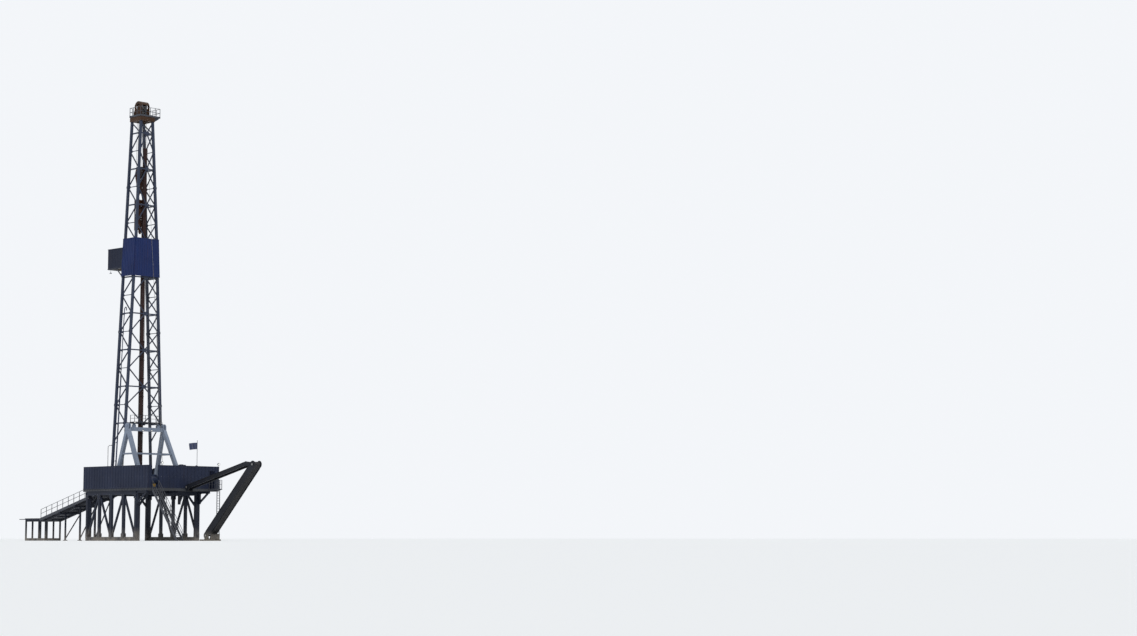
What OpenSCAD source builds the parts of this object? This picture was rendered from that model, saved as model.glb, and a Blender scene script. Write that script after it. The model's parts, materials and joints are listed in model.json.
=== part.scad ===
// Land drilling rig, a scale model at one tenth of real size, in millimetres.
// The origin is on the ground under the well centre. The pipe ramp runs out along +Y,
// the drawworks and the cable boom stand on the -Y side, and the doghouse is at +X.

/* [Drill floor] */
// Top of the deck above the ground
floor_h = 588; // [560:2:620]
// Well centre to the left edge of the deck
floor_left = 456; // [446:2:470]
// Well centre to the right edge of the deck, with the doghouse wing
floor_right = 536; // [526:2:560]
// Well centre to the front edge of the deck
floor_front = 370; // [360:5:400]
// Well centre to the rear edge of the deck
floor_rear = 867; // [850:1:900]
// Thickness of the deck with its beams
deck_t = 28; // [24:1:34]
// Height of the windwalls above the deck
windwall_h = 255; // [235:5:270]
// Thickness of a windwall sheet
windwall_t = 6; // [4:1:8]
// Spacing of the windwall posts, at most
post_gap = 160; // [120:10:220]
// Width of the opening in the front windwall, where the pipe ramp comes in
v_door_w = 300; // [280:10:340]

/* [Substructure] */
// Well centre to the middle of each side frame
sub_half_w = 430; // [420:2:435]
// Well centre to the front end of the side frames
sub_front = 325; // [310:5:340]
// Well centre to the rear end of the side frames
sub_rear = 635; // [620:5:650]
// Depth of the skid and cap beams
sub_beam = 44; // [36:2:54]
// Width of the frame's posts and beams
sub_post = 30; // [24:2:36]
// Bays in a side frame
sub_bays = 4; // [3:1:5]

/* [Mast] */
// Half the distance between the legs at the deck
mast_foot = 280; // [272:2:288]
// Half the distance between the legs under the crown
mast_top = 83; // [80:1:86]
// Underside of the crown frame above the ground
crown_z = 4880; // [4860:5:4900]
// Well centre to the middle of the front legs
mast_front = 75; // [72:1:80]
// Front legs to rear legs, below the upper section
mast_depth = 204; // [200:1:210]
// Front legs to rear legs, under the crown
mast_top_depth = 172; // [168:1:176]
// Height at which the rear legs start to lean in
kink_z = 3500; // [3500:5:3560]
// Side of a square leg
leg_w = 26; // [22:1:28]
// Height of the lowest girt above the ground
girt_z = 1345; // [1335:5:1355]
// Height of one braced panel
panel_h = 424; // [420:1:426]
// Side of a girt
girt_w = 14; // [10:1:16]
// Side of a diagonal
brace_w = 11; // [8:1:12]
// Side of a light strut between the girts
strut_w = 8; // [6:1:10]

/* [A-frames] */
// Well centre to the front foot of an A-frame
a_front = 10; // [4:1:12]
// Well centre to the rear foot of an A-frame
a_rear = 540; // [530:1:560]
// Well centre to the apex pin
apex_y = 185; // [180:1:192]
// Apex pin above the ground
apex_z = 1312; // [1306:1:1316]
// Width of an A-frame leg
a_leg_w = 44; // [38:1:48]
// Thickness of an A-frame leg
a_leg_t = 38; // [32:1:40]
// Height of the crossbars above the ground
a_bar_z = 990; // [960:5:1010]

/* [Hoisting] */
// Radius of the sheaves at the bottom of the groove
sheave_r = 50; // [46:1:52]
// Sheaves in the block, and as many in the crown
sheave_count = 4; // [3:1:4]
// Spacing of the sheaves along their axle
sheave_pitch = 18; // [16:1:20]
// Diameter of the drilling line
line_d = 3.5; // [3:0.5:4]
// Axle of the travelling block above the ground
block_z = 4265; // [4240:5:4280]
// Axle of the crown sheaves above the crown frame's underside
crown_axle = 176; // [168:2:180]

/* [Racking board] */
// Top of the racking board above the ground
board_z = 3166; // [3150:2:3180]
// How far the board stands out in front of the legs
board_out = 298; // [280:2:310]
// Height of the board's walls
board_wall_h = 228; // [210:2:240]
// Spacing of the fingers
finger_pitch = 24; // [22:1:28]
// Width of a finger
finger_w = 8; // [6:1:9]
// Lower edge of the mast cladding above the ground
clad_low = 3052; // [3045:1:3060]
// Height of the mast cladding
clad_h = 444; // [436:2:446]

/* [Pipe ramp] */
// Width of the ramp between the outer faces of its girders
ramp_w = 220; // [200:5:240]
// Length of the ramp, measured level
ramp_run = 1265; // [1230:5:1300]
// Top of the ramp's low end above the ground
ramp_low = 262; // [250:2:280]
// Width of the walkway beside the ramp
walk_w = 84; // [76:2:90]
// Length of the catwalk behind the ramp
catwalk_l = 430; // [400:5:460]

/* [Stair] */
// Width of the stair
stair_w = 90; // [84:1:96]
// Left edge of the stair, to the left of the well centre
stair_left = 402; // [398:1:406]
// Slope of the stair in degrees
stair_slope = 51; // [48:1:54]
// Rise of one step
step_rise = 21; // [19:0.5:23]

/* [Walkway at the A-frames] */
// Width of the walkway along the back of the mast
walk_span = 380; // [360:5:400]
// How far it stands out behind the girt
walk_out = 92; // [84:2:100]
// Height of its rail
walk_rail = 80; // [74:2:90]

/* [Flag] */
// Flagpole to the right of the well centre
pole_x = 225; // [215:5:240]
// Top of the flagpole above the windwall
pole_h = 288; // [270:2:300]
// Length of the flag along its top edge
flag_l = 118; // [105:1:125]
// Height of the flag
flag_h = 75; // [68:1:80]

/* [Cable boom] */
// Middle of the boom to the right of the well centre
boom_x = 100; // [90:2:110]
// Width of the boom
boom_w = 84; // [76:2:90]
// Hinge above the deck
hinge_up = 16; // [10:1:22]
// Well centre to the knee
knee_y = 2074; // [2060:2:2090]
// Knee above the ground
knee_z = 834; // [826:1:842]
// Bend of the upper arm before the knee
bend_y = 1945; // [1930:5:1960]
// Bend of the upper arm above the ground
bend_z = 846; // [838:1:854]
// Well centre to the boom's foot
foot_y = 1268; // [1256:2:1280]
// Depth of the upper arm
arm_d = 46; // [40:1:50]
// Depth of the lower arm
lower_d = 78; // [72:1:82]

/* [Hidden] */
$fn = 48;

seat = 0.3;                                   // gap between pieces that are bolted together
run_gap = 0.05;                               // radial gap of a pin in its hole
deck_under = floor_h - deck_t;
wall_top = floor_h + windwall_h;
lean = (mast_foot - mast_top) / (crown_z - floor_h);
lean_angle = atan(lean);
mast_rear = mast_depth - mast_front;
line_r = line_d / 2;
line_y = sheave_r + line_r + seat;            // each line hangs this far from the axle
crown_axle_z = crown_z + crown_axle;
frame_h = 52;                                 // depth of the crown frame
crown_top = crown_z + frame_h;
panels = floor((crown_z - 60 - girt_z) / panel_h);
stair_run = floor_h / tan(stair_slope);
step_count = floor(floor_h / step_rise) - 1;
landing_l = 112;
landing_w = 106;
landing_right = floor_right - 40;
door_h = 205;

// Half the distance between the legs at height z
function half_w(z) = mast_foot - (z - floor_h) * lean;
// Front legs to rear legs at height z
function depth(z) = mast_depth - max(0, z - kink_z) / (crown_z - kink_z) * (mast_depth - mast_top_depth);
// Middle of the rear legs at height z
function back_y(z) = mast_front - depth(z);
// Height of girt number i
function girt(i) = girt_z + i * panel_h;
// Distance up the leaning face that stands for height z
function up(z) = (z - floor_h) / cos(lean_angle);
// Point between p and q
function between(p, q, t) = p + (q - p) * t;

// Square bar between two points
module bar(p, q, w, d) {
    v = q - p;
    translate(p)
        rotate([0, acos(v[2] / norm(v)), atan2(v[1], v[0])])
            translate([-w / 2, -d / 2, 0]) cube([w, d, norm(v)]);
}

// Flat bar in a plane of constant x: p and q are [y, z], w is its width and t its thickness
module flat_bar(p, q, w, t) {
    v = q - p;
    translate([-t / 2, p[0], p[1]])
        rotate([atan2(v[1], v[0]), 0, 0])
            translate([0, 0, -w / 2]) cube([t, norm(v), w]);
}

// Same in a plane of constant y: p and q are [x, z]
module wall_bar(p, q, w, t) {
    rotate([0, 0, -90]) mirror([1, 0, 0]) flat_bar(p, q, w, t);
}

// Box between two corners
module block(low, high) {
    translate(low) cube(high - low);
}

// Plane of a leaning mast side, with z measured up the slope from the deck
module side_plane(side) {
    translate([side * mast_foot, 0, floor_h]) rotate([0, -side * lean_angle, 0]) children();
}

// All that lies further out than a plane at distance d inside the mast side
module beyond(side, d) {
    reach = 6000;
    side_plane(side)
        translate([side > 0 ? -d : d - reach, -reach / 2, -reach / 2]) cube([reach, reach, 2 * reach]);
}

// Ring of rail, mid rail and posts along a list of [x, y] points
module railing(points, z, h, d) {
    rail = d - 1;
    for (i = [0 : len(points) - 2]) {
        p = points[i];
        q = points[i + 1];
        for (level = [h - d / 2, h / 2])
            bar([p[0], p[1], z + level], [q[0], q[1], z + level], rail, rail);
        count = ceil(norm(q - p) / 90);
        for (k = [0 : count]) {
            s = between(p, q, k / count);
            translate([s[0] - d / 2, s[1] - d / 2, z]) cube([d, d, h]);
        }
    }
}

// Welded side frame of the substructure: skid beam, cap beam, posts and a diagonal in each bay
module sub_side(side) {
    length = sub_front + sub_rear;
    bay = (length - sub_post) / sub_bays;
    color("midnightblue")
    translate([side * sub_half_w, 0, 0]) {
        block([-sub_post / 2, -sub_rear, 0], [sub_post / 2, sub_front, sub_beam]);
        block([-sub_post / 2, -sub_rear, deck_under - sub_beam], [sub_post / 2, sub_front, deck_under]);
        for (i = [0 : sub_bays]) {
            y = -sub_rear + i * bay;
            block([-sub_post / 2, y, sub_beam / 2], [sub_post / 2, y + sub_post, deck_under - sub_beam / 2]);
        }
        for (i = [0 : sub_bays - 1]) {
            y = -sub_rear + sub_post / 2 + i * bay;
            ends = i % 2 == 0 ? [0, 1] : [1, 0];
            flat_bar([y + ends[0] * bay, sub_beam / 2], [y + ends[1] * bay, deck_under - sub_beam / 2],
                sub_post * 0.7, sub_post * 0.6);
        }
    }
}

// Portal between the side frames: posts, a cap beam and knee braces over the open cellar
module sub_cross(y0) {
    inside = sub_half_w - sub_post / 2 - seat;
    knee = 150;
    color("midnightblue")
    translate([0, y0, 0]) {
        block([-inside, 0, deck_under - sub_beam], [inside, sub_post, deck_under]);
        for (side = [-1, 1]) translate([0, sub_post / 2, 0]) {
            wall_bar([side * (inside - sub_post / 2), deck_under - sub_beam / 2 - knee],
                [side * (inside - knee), deck_under - sub_beam / 2], sub_post * 0.7, sub_post * 0.6);
            translate([side * (inside - sub_post / 2) - sub_post / 2, -sub_post / 2, 0])
                cube([sub_post, sub_post, deck_under - sub_beam / 2]);
        }
    }
}

module sub_cross_frames() {
    for (y = [sub_front - sub_post, -sub_rear]) sub_cross(y);
}

// Brackets under the rear overhang and under the doghouse wing
module floor_brackets() {
    reach = floor_rear - sub_rear - sub_post - 10;
    wing = floor_right - sub_half_w - sub_post / 2 - 14;
    drop = 118;
    arm = 24;
    color("midnightblue") {
        for (x = [-sub_half_w, 0, sub_half_w]) translate([x, 0, 0]) {
            block([-arm / 2, -sub_rear - seat - reach, deck_under - arm],
                [arm / 2, -sub_rear - seat, deck_under]);
            if (x != 0) {
                block([-arm / 2, -sub_rear - seat - arm, deck_under - drop - arm],
                    [arm / 2, -sub_rear - seat, deck_under]);
                flat_bar([-sub_rear - seat - arm / 2, deck_under - drop - arm / 2],
                    [-sub_rear - reach + arm / 2, deck_under - arm / 2], arm * 0.75, arm * 0.75);
            }
        }
        x0 = sub_half_w + sub_post / 2 + seat;
        for (y = [-560, -230, 100]) translate([0, y, 0]) {
            block([x0, -arm / 2, deck_under - arm], [x0 + wing, arm / 2, deck_under]);
            block([x0, -arm / 2, deck_under - drop - arm], [x0 + arm, arm / 2, deck_under]);
            wall_bar([x0 + arm / 2, deck_under - drop - arm / 2], [x0 + wing - arm / 2, deck_under - arm / 2],
                arm * 0.75, arm * 0.75);
        }
    }
}

rotary_r = 62;                                // outer radius of the rotary table
rotary_bore = 35;                             // radius of its bore
rotary_up = 6;                                // how far it stands above the deck

module floor_deck() {
    plate = 8;
    rib = 8;
    color("dimgray")
    difference() {
        union() {
            block([-floor_left, -floor_rear, floor_h - plate], [floor_right, floor_front, floor_h]);
            for (x = [-floor_left, -floor_left / 3, floor_left / 3, floor_right - rib])
                block([x, -floor_rear, deck_under], [x + rib, floor_front, floor_h]);
            for (y = [-floor_rear, -sub_rear, -floor_left, floor_front - rib, -rotary_r - 40, rotary_r + 32])
                block([-floor_left, y, deck_under], [floor_right, y + rib, floor_h]);
        }
        translate([0, 0, deck_under - 1]) cylinder(r = rotary_r + seat, h = deck_t + 2);
    }
}

module rotary_table() {
    flange = 16;
    color("darkorange")
    difference() {
        union() {
            translate([0, 0, deck_under]) cylinder(r = rotary_r, h = deck_t + rotary_up);
            translate([0, 0, deck_under - 8]) cylinder(r = rotary_r - 12, h = 9);
            translate([0, 0, floor_h + seat]) cylinder(r = rotary_r + flange, h = rotary_up - seat);
        }
        translate([0, 0, deck_under - 9]) cylinder(r = rotary_bore, h = deck_t + rotary_up + 10);
    }
}

// Windwall along x or y: a sheet with posts and a cap rail on its inner side
module windwall(length, posts) {
    post = 9;
    color("navy") {
        cube([length, windwall_t, windwall_h]);
        for (i = [0 : posts])
            translate([i * (length - post) / posts, windwall_t - 1, 0]) cube([post, post + 1, windwall_h]);
        for (z = [0, windwall_h / 2, windwall_h - post])
            translate([0, windwall_t - 1, z]) cube([length, post * 0.6 + 1, post]);
    }
}

module windwall_left() {
    length = floor_rear + floor_front;
    translate([-floor_left, floor_front, floor_h + seat]) rotate([0, 0, -90])
        windwall(length, ceil(length / post_gap));
}

// Half of the front windwall, on one side of the ramp's opening
module wall_front(side) {
    inner = side < 0 ? floor_left - 16 : floor_right - 16;
    length = inner - v_door_w / 2;
    color("navy")
    translate([side < 0 ? -v_door_w / 2 : inner, floor_front - 2, floor_h + seat]) rotate([0, 0, 180])
        windwall(length, ceil(length / post_gap));
}

module wall_rear_corner() {
    length = floor_left - 16 - stair_left;
    translate([-floor_left + 16, -floor_rear + 2, floor_h + seat]) windwall(length, 1);
}

module wall_rear() {
    x0 = -stair_left + stair_w + 4;
    length = floor_right - 16 - x0;
    door_x = landing_right - landing_w + 10 - x0;
    color("navy")
    translate([x0, -floor_rear + 2, floor_h + seat]) difference() {
        windwall(length, ceil(length / post_gap));
        translate([door_x, -1, -1]) cube([80, windwall_t + 12, door_h + 1]);
    }
}

dog_x = 332;                                  // inner face of the doghouse
dog_rear = 560;
dog_front = 110;
dog_h = 246;
window_y = [-470, -110];                      // rear and front end of the doghouse window
window_z = [100, 190];                        // its sill and head above the deck

module wall_right(y0, y1) {
    translate([floor_right, y0, floor_h + seat]) rotate([0, 0, 90])
        windwall(y1 - y0, ceil((y1 - y0) / post_gap));
}

module windwall_front() {
    for (side = [-1, 1]) wall_front(side);
}

module windwall_rear() {
    wall_rear_corner();
    wall_rear();
}

module windwall_right() {
    wall_right(dog_front + seat, floor_front);
    wall_right(-floor_rear, -dog_rear - seat);
}

module doghouse_walls() {
    t = 8;
    color("steelblue")
    difference() {
        block([dog_x, -dog_rear, floor_h + seat], [floor_right, dog_front, floor_h + dog_h]);
        block([dog_x + t, -dog_rear + t, floor_h + seat - 1],
            [floor_right - t, dog_front - t, floor_h + dog_h + 1]);
        block([dog_x - 1, -40, floor_h - 1], [dog_x + t + 1, 50, floor_h + door_h]);
        block([dog_x - 1, window_y[0], floor_h + window_z[0]],
            [dog_x + t + 1, window_y[1], floor_h + window_z[1]]);
    }
}

module doghouse_roof() {
    over = 3;
    color("lightslategray")
    block([dog_x - over, -dog_rear + seat, floor_h + dog_h + seat],
        [floor_right, dog_front - seat, floor_h + dog_h + 8]);
}

module doghouse_door() {
    color("steelblue") {
        block([dog_x + 1, -40 + seat, floor_h + 2], [dog_x + 6, 50 - seat, floor_h + door_h - seat]);
        block([dog_x - 3, 34, floor_h + 95], [dog_x + 1.5, 39, floor_h + 112]);
    }
}

module doghouse_window() {
    color("lightblue")
    block([dog_x + 3, window_y[0] + seat, floor_h + window_z[0] + seat],
        [dog_x + 5, window_y[1] - seat, floor_h + window_z[1] - seat]);
}

// Drawworks: a skid, a flanged drum between two housings, and two motors behind them
draw_y = -600;
motor_x = 175;                                // well centre to the middle of each motor
motor_l = 110;
draw_z = 74;
drum_r = 32;
drum_half = 62;

module drawworks_skid() {
    color("navy")
    difference() {
        union() {
            block([-250, draw_y - 85, floor_h + seat], [250, draw_y + 85, floor_h + 20]);
            for (side = [-1, 1]) translate([side * (drum_half + 22) - 16, draw_y, floor_h + 19]) {
                translate([0, -60, 0]) cube([32, 120, 60]);
                translate([0, 0, draw_z - 20]) rotate([0, 90, 0]) cylinder(r = 58, h = 32);
            }
        }
        translate([-200, draw_y, floor_h + draw_z]) rotate([0, 90, 0]) cylinder(r = 9 + run_gap, h = 400);
    }
}

module drawworks_drum() {
    color("gray")
    translate([0, draw_y, floor_h + draw_z]) rotate([0, 90, 0]) {
        shaft = motor_x - motor_l / 2 - seat;
        translate([0, 0, -shaft]) cylinder(r = 9, h = 2 * shaft);
        translate([0, 0, -drum_half + 2]) cylinder(r = drum_r, h = 2 * drum_half - 4);
        for (z = [-drum_half + 1, drum_half - 9]) translate([0, 0, z]) cylinder(r = drum_r + 16, h = 8);
    }
}

module drawworks_motors() {
    color("navy")
    for (side = [-1, 1]) translate([side * motor_x, draw_y, floor_h + 20 + seat]) {
        translate([-motor_l / 2, -60, 0]) cube([motor_l, 120, 26]);
        translate([-motor_l / 2, 0, 66]) rotate([0, 90, 0]) cylinder(r = 52, h = motor_l);
    }
}

// One side of the mast: two legs, girts at the rear nodes, light struts at the front nodes,
// and diagonals that zigzag between them
module mast_side(side) {
    front = mast_front;
    color("lightslategray")
    difference() {
        union() {
            side_plane(side) {
                block([-leg_w / 2, front - leg_w / 2, 22], [leg_w / 2, front + leg_w / 2, up(crown_z) - 2]);
                for (i = [0 : panels])
                    flat_bar([front, up(girt(i))], [back_y(girt(i)), up(girt(i))], girt_w, girt_w);
                for (i = [0 : panels - 1]) {
                    mid = girt(i) + panel_h / 2;
                    flat_bar([front, up(mid)], [back_y(mid), up(mid)], strut_w, strut_w);
                    flat_bar([back_y(girt(i)), up(girt(i))], [front, up(mid)], brace_w, brace_w);
                    flat_bar([front, up(mid)], [back_y(girt(i + 1)), up(girt(i + 1))], brace_w, brace_w);
                }
                flat_bar([back_y(girt_z), up(girt_z)], [front, up(girt_z - panel_h / 2)], brace_w, brace_w);
                flat_bar([back_y(girt(panels)), up(girt(panels))], [front, up(crown_z) - 12], brace_w,
                    brace_w);
                for (z = [girt(1) - panel_h / 2, girt(3) - panel_h / 2, girt(5), girt(7) - panel_h / 2])
                    translate([-leg_w / 2 - 3, front - leg_w / 2 - 3, up(z) - 14])
                        cube([leg_w + 6, leg_w + 6, 28]);
                rear_legs();
                apex_bracket();
            }
        }
        side_plane(side)
            translate([0, front, shoe_pin_z]) rotate([90, 0, 0])
                cylinder(r = shoe_pin_r + run_gap, h = 60, center = true);
        translate([-400, -300, crown_z]) cube([800, 600, 40]);
    }
}

module rear_legs() {
    low = girt_z - 55;
    points = [[back_y(low), up(low)], [back_y(kink_z), up(kink_z)], [back_y(crown_z), up(crown_z) - 2]];
    w = leg_w / 2;
    translate([-w, 0, 0]) rotate([90, 0, 90])
        linear_extrude(leg_w)
            polygon([
                [points[0][0] - w, points[0][1]], [points[0][0] + w, points[0][1]],
                [points[1][0] + w, points[1][1]], [points[2][0] + w, points[2][1]],
                [points[2][0] - w, points[2][1]], [points[1][0] - w, points[1][1]]
            ]);
}

pin_r = 12;

// Plate at the foot of the rear legs that takes the apex pin
module apex_bracket() {
    y = back_y(girt_z);
    difference() {
        union() {
            translate([-7, 0, 0]) rotate([90, 0, 90]) linear_extrude(14)
                polygon([[y, up(girt_z - 50)], [y, up(girt_z + 30)], [-apex_y, up(apex_z) + 22],
                    [-apex_y, up(apex_z) - 22]]);
            translate([-7, -apex_y, up(apex_z)]) rotate([0, 90, 0]) cylinder(r = 22, h = 14);
        }
        translate([-20, -apex_y, up(apex_z)]) rotate([0, 90, 0]) cylinder(r = pin_r + run_gap, h = 40);
    }
}

// Back of the mast: girts, and diagonals that meet at the middle of each girt
module mast_back() {
    t = brace_w;
    color("lightslategray")
    difference() {
        union() {
            for (i = [0 : panels]) {
                z = girt(i);
                translate([0, back_y(z), 0]) wall_bar([-half_w(z), z], [half_w(z), z], girt_w, girt_w);
            }
            for (i = [0 : panels - 1], side = [-1, 1]) {
                mid = girt(i) + panel_h / 2;
                for (z = [girt(i), girt(i + 1)])
                    bar([0, back_y(z), z], [side * half_w(mid), back_y(mid), mid], t, t);
            }
            for (side = [-1, 1])
                bar([0, back_y(girt(panels)), girt(panels)],
                    [side * half_w(crown_z), back_y(crown_z), crown_z - 10], t, t);
        }
        for (side = [-1, 1]) beyond(side, leg_w / 2 + seat);
    }
}

// Walkway with a rail behind the lowest girt, over the A-frames' beam
module mast_walkway() {
    y1 = back_y(girt_z) - girt_w / 2 - seat;
    y0 = y1 - walk_out;
    z = girt_z + girt_w / 2 + seat;
    half = walk_span / 2;
    d = 5;
    color("slategray") {
        block([-half, y0, z], [half, y1 - 2, z + 5]);
        for (x = [-half, -4, half - 8]) translate([x + 4, 0, 0]) {
            flat_bar([y1 - 4, z - 10], [y0 + 4, z + 1], 7, 8);
            block([-4, y1 - 8, z - 14], [4, y1, z + 3]);
        }
        railing([[-half + 4, y1 - 6], [-half + 4, y0 + 4], [half - 4, y0 + 4], [half - 4, y1 - 6]], z + 4,
            walk_rail, d);
    }
}

shoe_pin_r = 7;
shoe_pin_z = 40;

// Shoes on the deck that hold the front legs by a pin
module mast_shoes() {
    lug = 8;
    gap = 1;
    color("dimgray")
    for (side = [-1, 1]) side_plane(side) translate([0, mast_front, 0]) {
        difference() {
            union() {
                for (y = [-leg_w / 2 - gap - lug, leg_w / 2 + gap]) translate([-18, y, -4])
                    cube([36, lug, shoe_pin_z + 16]);
                translate([-28, -28, -4]) cube([56, 56, 16]);
            }
            rotate([0, side * lean_angle, 0]) translate([-90, -90, seat - 60]) cube([180, 180, 60]);
        }
        translate([0, 0, shoe_pin_z]) rotate([90, 0, 0])
            cylinder(r = shoe_pin_r, h = leg_w + 2 * (gap + lug) + 6, center = true);
    }
}

// A-frame in the plane of the mast side: two box legs, a crossbar, feet and cheeks for the apex pin
module a_frame(side) {
    foot = 16;
    head = a_leg_t / 2 + 2;
    color("lightsteelblue")
    side_plane(side) {
        difference() {
            union() {
                flat_bar([a_front, foot], [-apex_y, up(apex_z) - 26], a_leg_w, a_leg_t);
                flat_bar([-a_rear, foot], [-apex_y, up(apex_z) - 26], a_leg_w, a_leg_t);
                t = (a_bar_z - floor_h) / (apex_z - floor_h);
                flat_bar([a_front + (-apex_y - a_front) * t, up(a_bar_z)],
                    [-a_rear + (a_rear - apex_y) * t, up(a_bar_z)], 18, 18);
                translate([-head, -apex_y, up(apex_z)]) rotate([0, 90, 0]) cylinder(r = 30, h = 2 * head);
                translate([-head, -apex_y - 30, up(apex_z) - 60]) cube([2 * head, 60, 60]);
            }
            translate([-7 - seat, -apex_y - 31, up(apex_z) - 36]) cube([14 + 2 * seat, 140, 90]);
            block([-60, -a_rear - 60, -60], [60, a_front + 60, foot - 4]);
        }
        translate([-23, -apex_y, up(apex_z)]) rotate([0, 90, 0]) cylinder(r = pin_r, h = 46);
        for (y = [a_front, -a_rear]) translate([-24, y - 34, 6]) cube([48, 68, foot - 8]);
    }
}

// Beams that tie the two A-frames together, at the apex and at the crossbars
module a_frame_beams() {
    t = (a_bar_z - floor_h) / (apex_z - floor_h);
    y_low = -a_rear + (a_rear - apex_y) * t;
    reach = half_w(floor_h);
    color("lightsteelblue")
    difference() {
        union() {
            block([-reach, -apex_y - 24, apex_z - 60], [reach, -apex_y + 20, apex_z - 16]);
            for (side = [-1, 1]) translate([side * (half_w(apex_z) - 80), -apex_y - 20, apex_z - 17]) {
                translate([-16, 0, 0]) cube([32, 36, 30]);
                translate([-5, 18, 30]) rotate([0, 90, 0]) cylinder(r = 22, h = 10);
            }
            block([-reach, y_low - 10, a_bar_z - 10], [reach, y_low + 10, a_bar_z + 10]);
        }
        for (side = [-1, 1]) beyond(side, a_leg_t / 2 + 2 + seat);
    }
}

// Crown frame: a ring of beams on the four legs and two sheave beams across it
crown_half = 101;
crown_y0 = -mast_top_depth + mast_front - 20;
crown_y1 = mast_front + 20;
sheave_span = (sheave_count - 1) * sheave_pitch / 2 + 16;

module crown_frame() {
    b = 24;
    color("darkgoldenrod")
    difference() {
        union() {
            for (y = [crown_y0, crown_y1 - b])
                block([-crown_half, y, crown_z + seat], [crown_half, y + b, crown_top]);
            for (side = [-1, 1]) {
                block([side * (crown_half - b / 2) - b / 2, crown_y0, crown_z + seat],
                    [side * (crown_half - b / 2) + b / 2, crown_y1, crown_top]);
                block([side * sheave_span - 7, crown_y0, crown_z + seat],
                    [side * sheave_span + 7, crown_y1, crown_top]);
                translate([side * sheave_span - 7, 0, crown_top]) rotate([90, 0, 90]) linear_extrude(14)
                    polygon([[-70, -1], [70, -1], [20, crown_axle - frame_h + 18],
                        [-20, crown_axle - frame_h + 18]]);
            }
        }
        translate([-200, 0, crown_axle_z]) rotate([0, 90, 0]) cylinder(r = 8 + run_gap, h = 400);
    }
}

// Grooved sheave on an axle along x
module sheave(x) {
    rim = 5;
    translate([x, 0, 0]) rotate([0, 90, 0]) rotate_extrude()
        polygon([[14, -6], [sheave_r - 8, -4], [sheave_r + rim, -4.5], [sheave_r + rim, -3.6],
            [sheave_r, -1.6],
            [sheave_r, 1.6], [sheave_r + rim, 3.6], [sheave_r + rim, 4.5], [sheave_r - 8, 4], [14, 6]]);
}

module sheave_set(axle) {
    for (i = [0 : sheave_count - 1]) sheave((i - (sheave_count - 1) / 2) * sheave_pitch);
    rotate([0, 90, 0]) cylinder(r = 14.5, h = 2 * (sheave_span - 7 - 2), center = true);
    rotate([0, 90, 0]) cylinder(r = 8, h = axle, center = true);
}

module crown_sheaves() {
    color("darkgoldenrod") translate([0, 0, crown_axle_z]) sheave_set(2 * sheave_span + 30);
}

// Arched guard over the crown sheaves, on a sloping frame that runs down to the front of the crown
module crown_guard() {
    inner = sheave_r + 10;
    plate = 4;
    color("darkgoldenrod")
    for (side = [-1, 1]) translate([side * (sheave_span + 12) - plate / 2, 0, crown_top + seat])
        rotate([90, 0, 90]) linear_extrude(plate) difference() {
            union() {
                translate([0, crown_axle - frame_h]) circle(r = inner + 8);
                polygon([[inner + 8, 0], [-inner - 8, 0], [-inner - 8, crown_axle - frame_h],
                    [inner - 10, crown_axle - frame_h + 36], [crown_y1 - 2, 0]]);
            }
            translate([-200, -200]) square([400, 200]);
            translate([0, crown_axle - frame_h]) circle(r = inner - 24);
        }
    color("darkgoldenrod")
    translate([0, 0, crown_axle_z]) rotate([0, 90, 0]) difference() {
        cylinder(r = inner + 8, h = 2 * (sheave_span + 10) - seat, center = true);
        cylinder(r = inner + 4, h = 400, center = true);
        translate([-inner * 0.35, -200, -200]) cube([400, 400, 400]);
    }
}

platform_left = 106;
platform_right = 176;
platform_front = mast_front + 22;
platform_rear = mast_top_depth - mast_front + 22;

module crown_platform() {
    t = 8;
    color("dimgray")
    difference() {
        union() {
            block([-platform_left, -platform_rear, crown_top + seat],
                [platform_right, platform_front, crown_top + t]);
            for (y = [-platform_rear + 24, platform_front - 36])
                translate([crown_half + seat, y, 0]) rotate([90, 0, 0]) translate([0, 0, -12])
                    linear_extrude(12) polygon([[0, crown_top + 1], [0, crown_z + 10], [14, crown_z + 10],
                        [platform_right - crown_half - 6, crown_top - 8],
                            [platform_right - crown_half - 6, crown_top + 1]]);
        }
        block([-sheave_span - 18, -inner_r() - 12, crown_top - 4],
            [sheave_span + 18, crown_y1 + 1, crown_top + t + 1]);
    }
}

function inner_r() = sheave_r + 10;

module crown_railing() {
    h = 106;
    d = 5;
    e = d / 2 + 1;
    color("dimgray")
    railing([[-sheave_span - 24, platform_front - e], [-platform_left + e, platform_front - e],
        [-platform_left + e, -platform_rear + e], [platform_right - e, -platform_rear + e],
        [platform_right - e, platform_front - e], [sheave_span + 24, platform_front - e]],
            crown_top + 8 + seat, h, d);
}

// Racking board: a frame in front of the legs with the monkey board down its middle
board_half = half_w(board_z) + leg_w / 2;
board_back = mast_front + leg_w / 2 + 3;
board_front = mast_front + board_out;
monkey_half = 34;

module racking_board() {
    t = 14;
    rail = 14;
    color("dimgray") {
        for (side = [-1, 1])
            block([side * (board_half - rail / 2) - rail / 2, board_back, board_z - t],
                [side * (board_half - rail / 2) + rail / 2, board_front, board_z]);
        block([-board_half, board_front - 44, board_z - t], [board_half, board_front, board_z]);
        block([-monkey_half, board_back + 30, board_z - t], [monkey_half, board_front, board_z]);
        for (side = [-1, 1]) translate([side * (board_half - rail / 2), 0, 0])
            flat_bar([board_back + 8, board_z - 110], [board_back + 120, board_z - t / 2], 10, 10);
        for (side = [-1, 1])
            block([side * (board_half - rail / 2) - 7, board_back, board_z - 124],
                [side * (board_half - rail / 2) + 7, board_back + 12, board_z]);
    }
}

finger_count = floor((board_front - 44 - board_back - 30) / finger_pitch);

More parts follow.
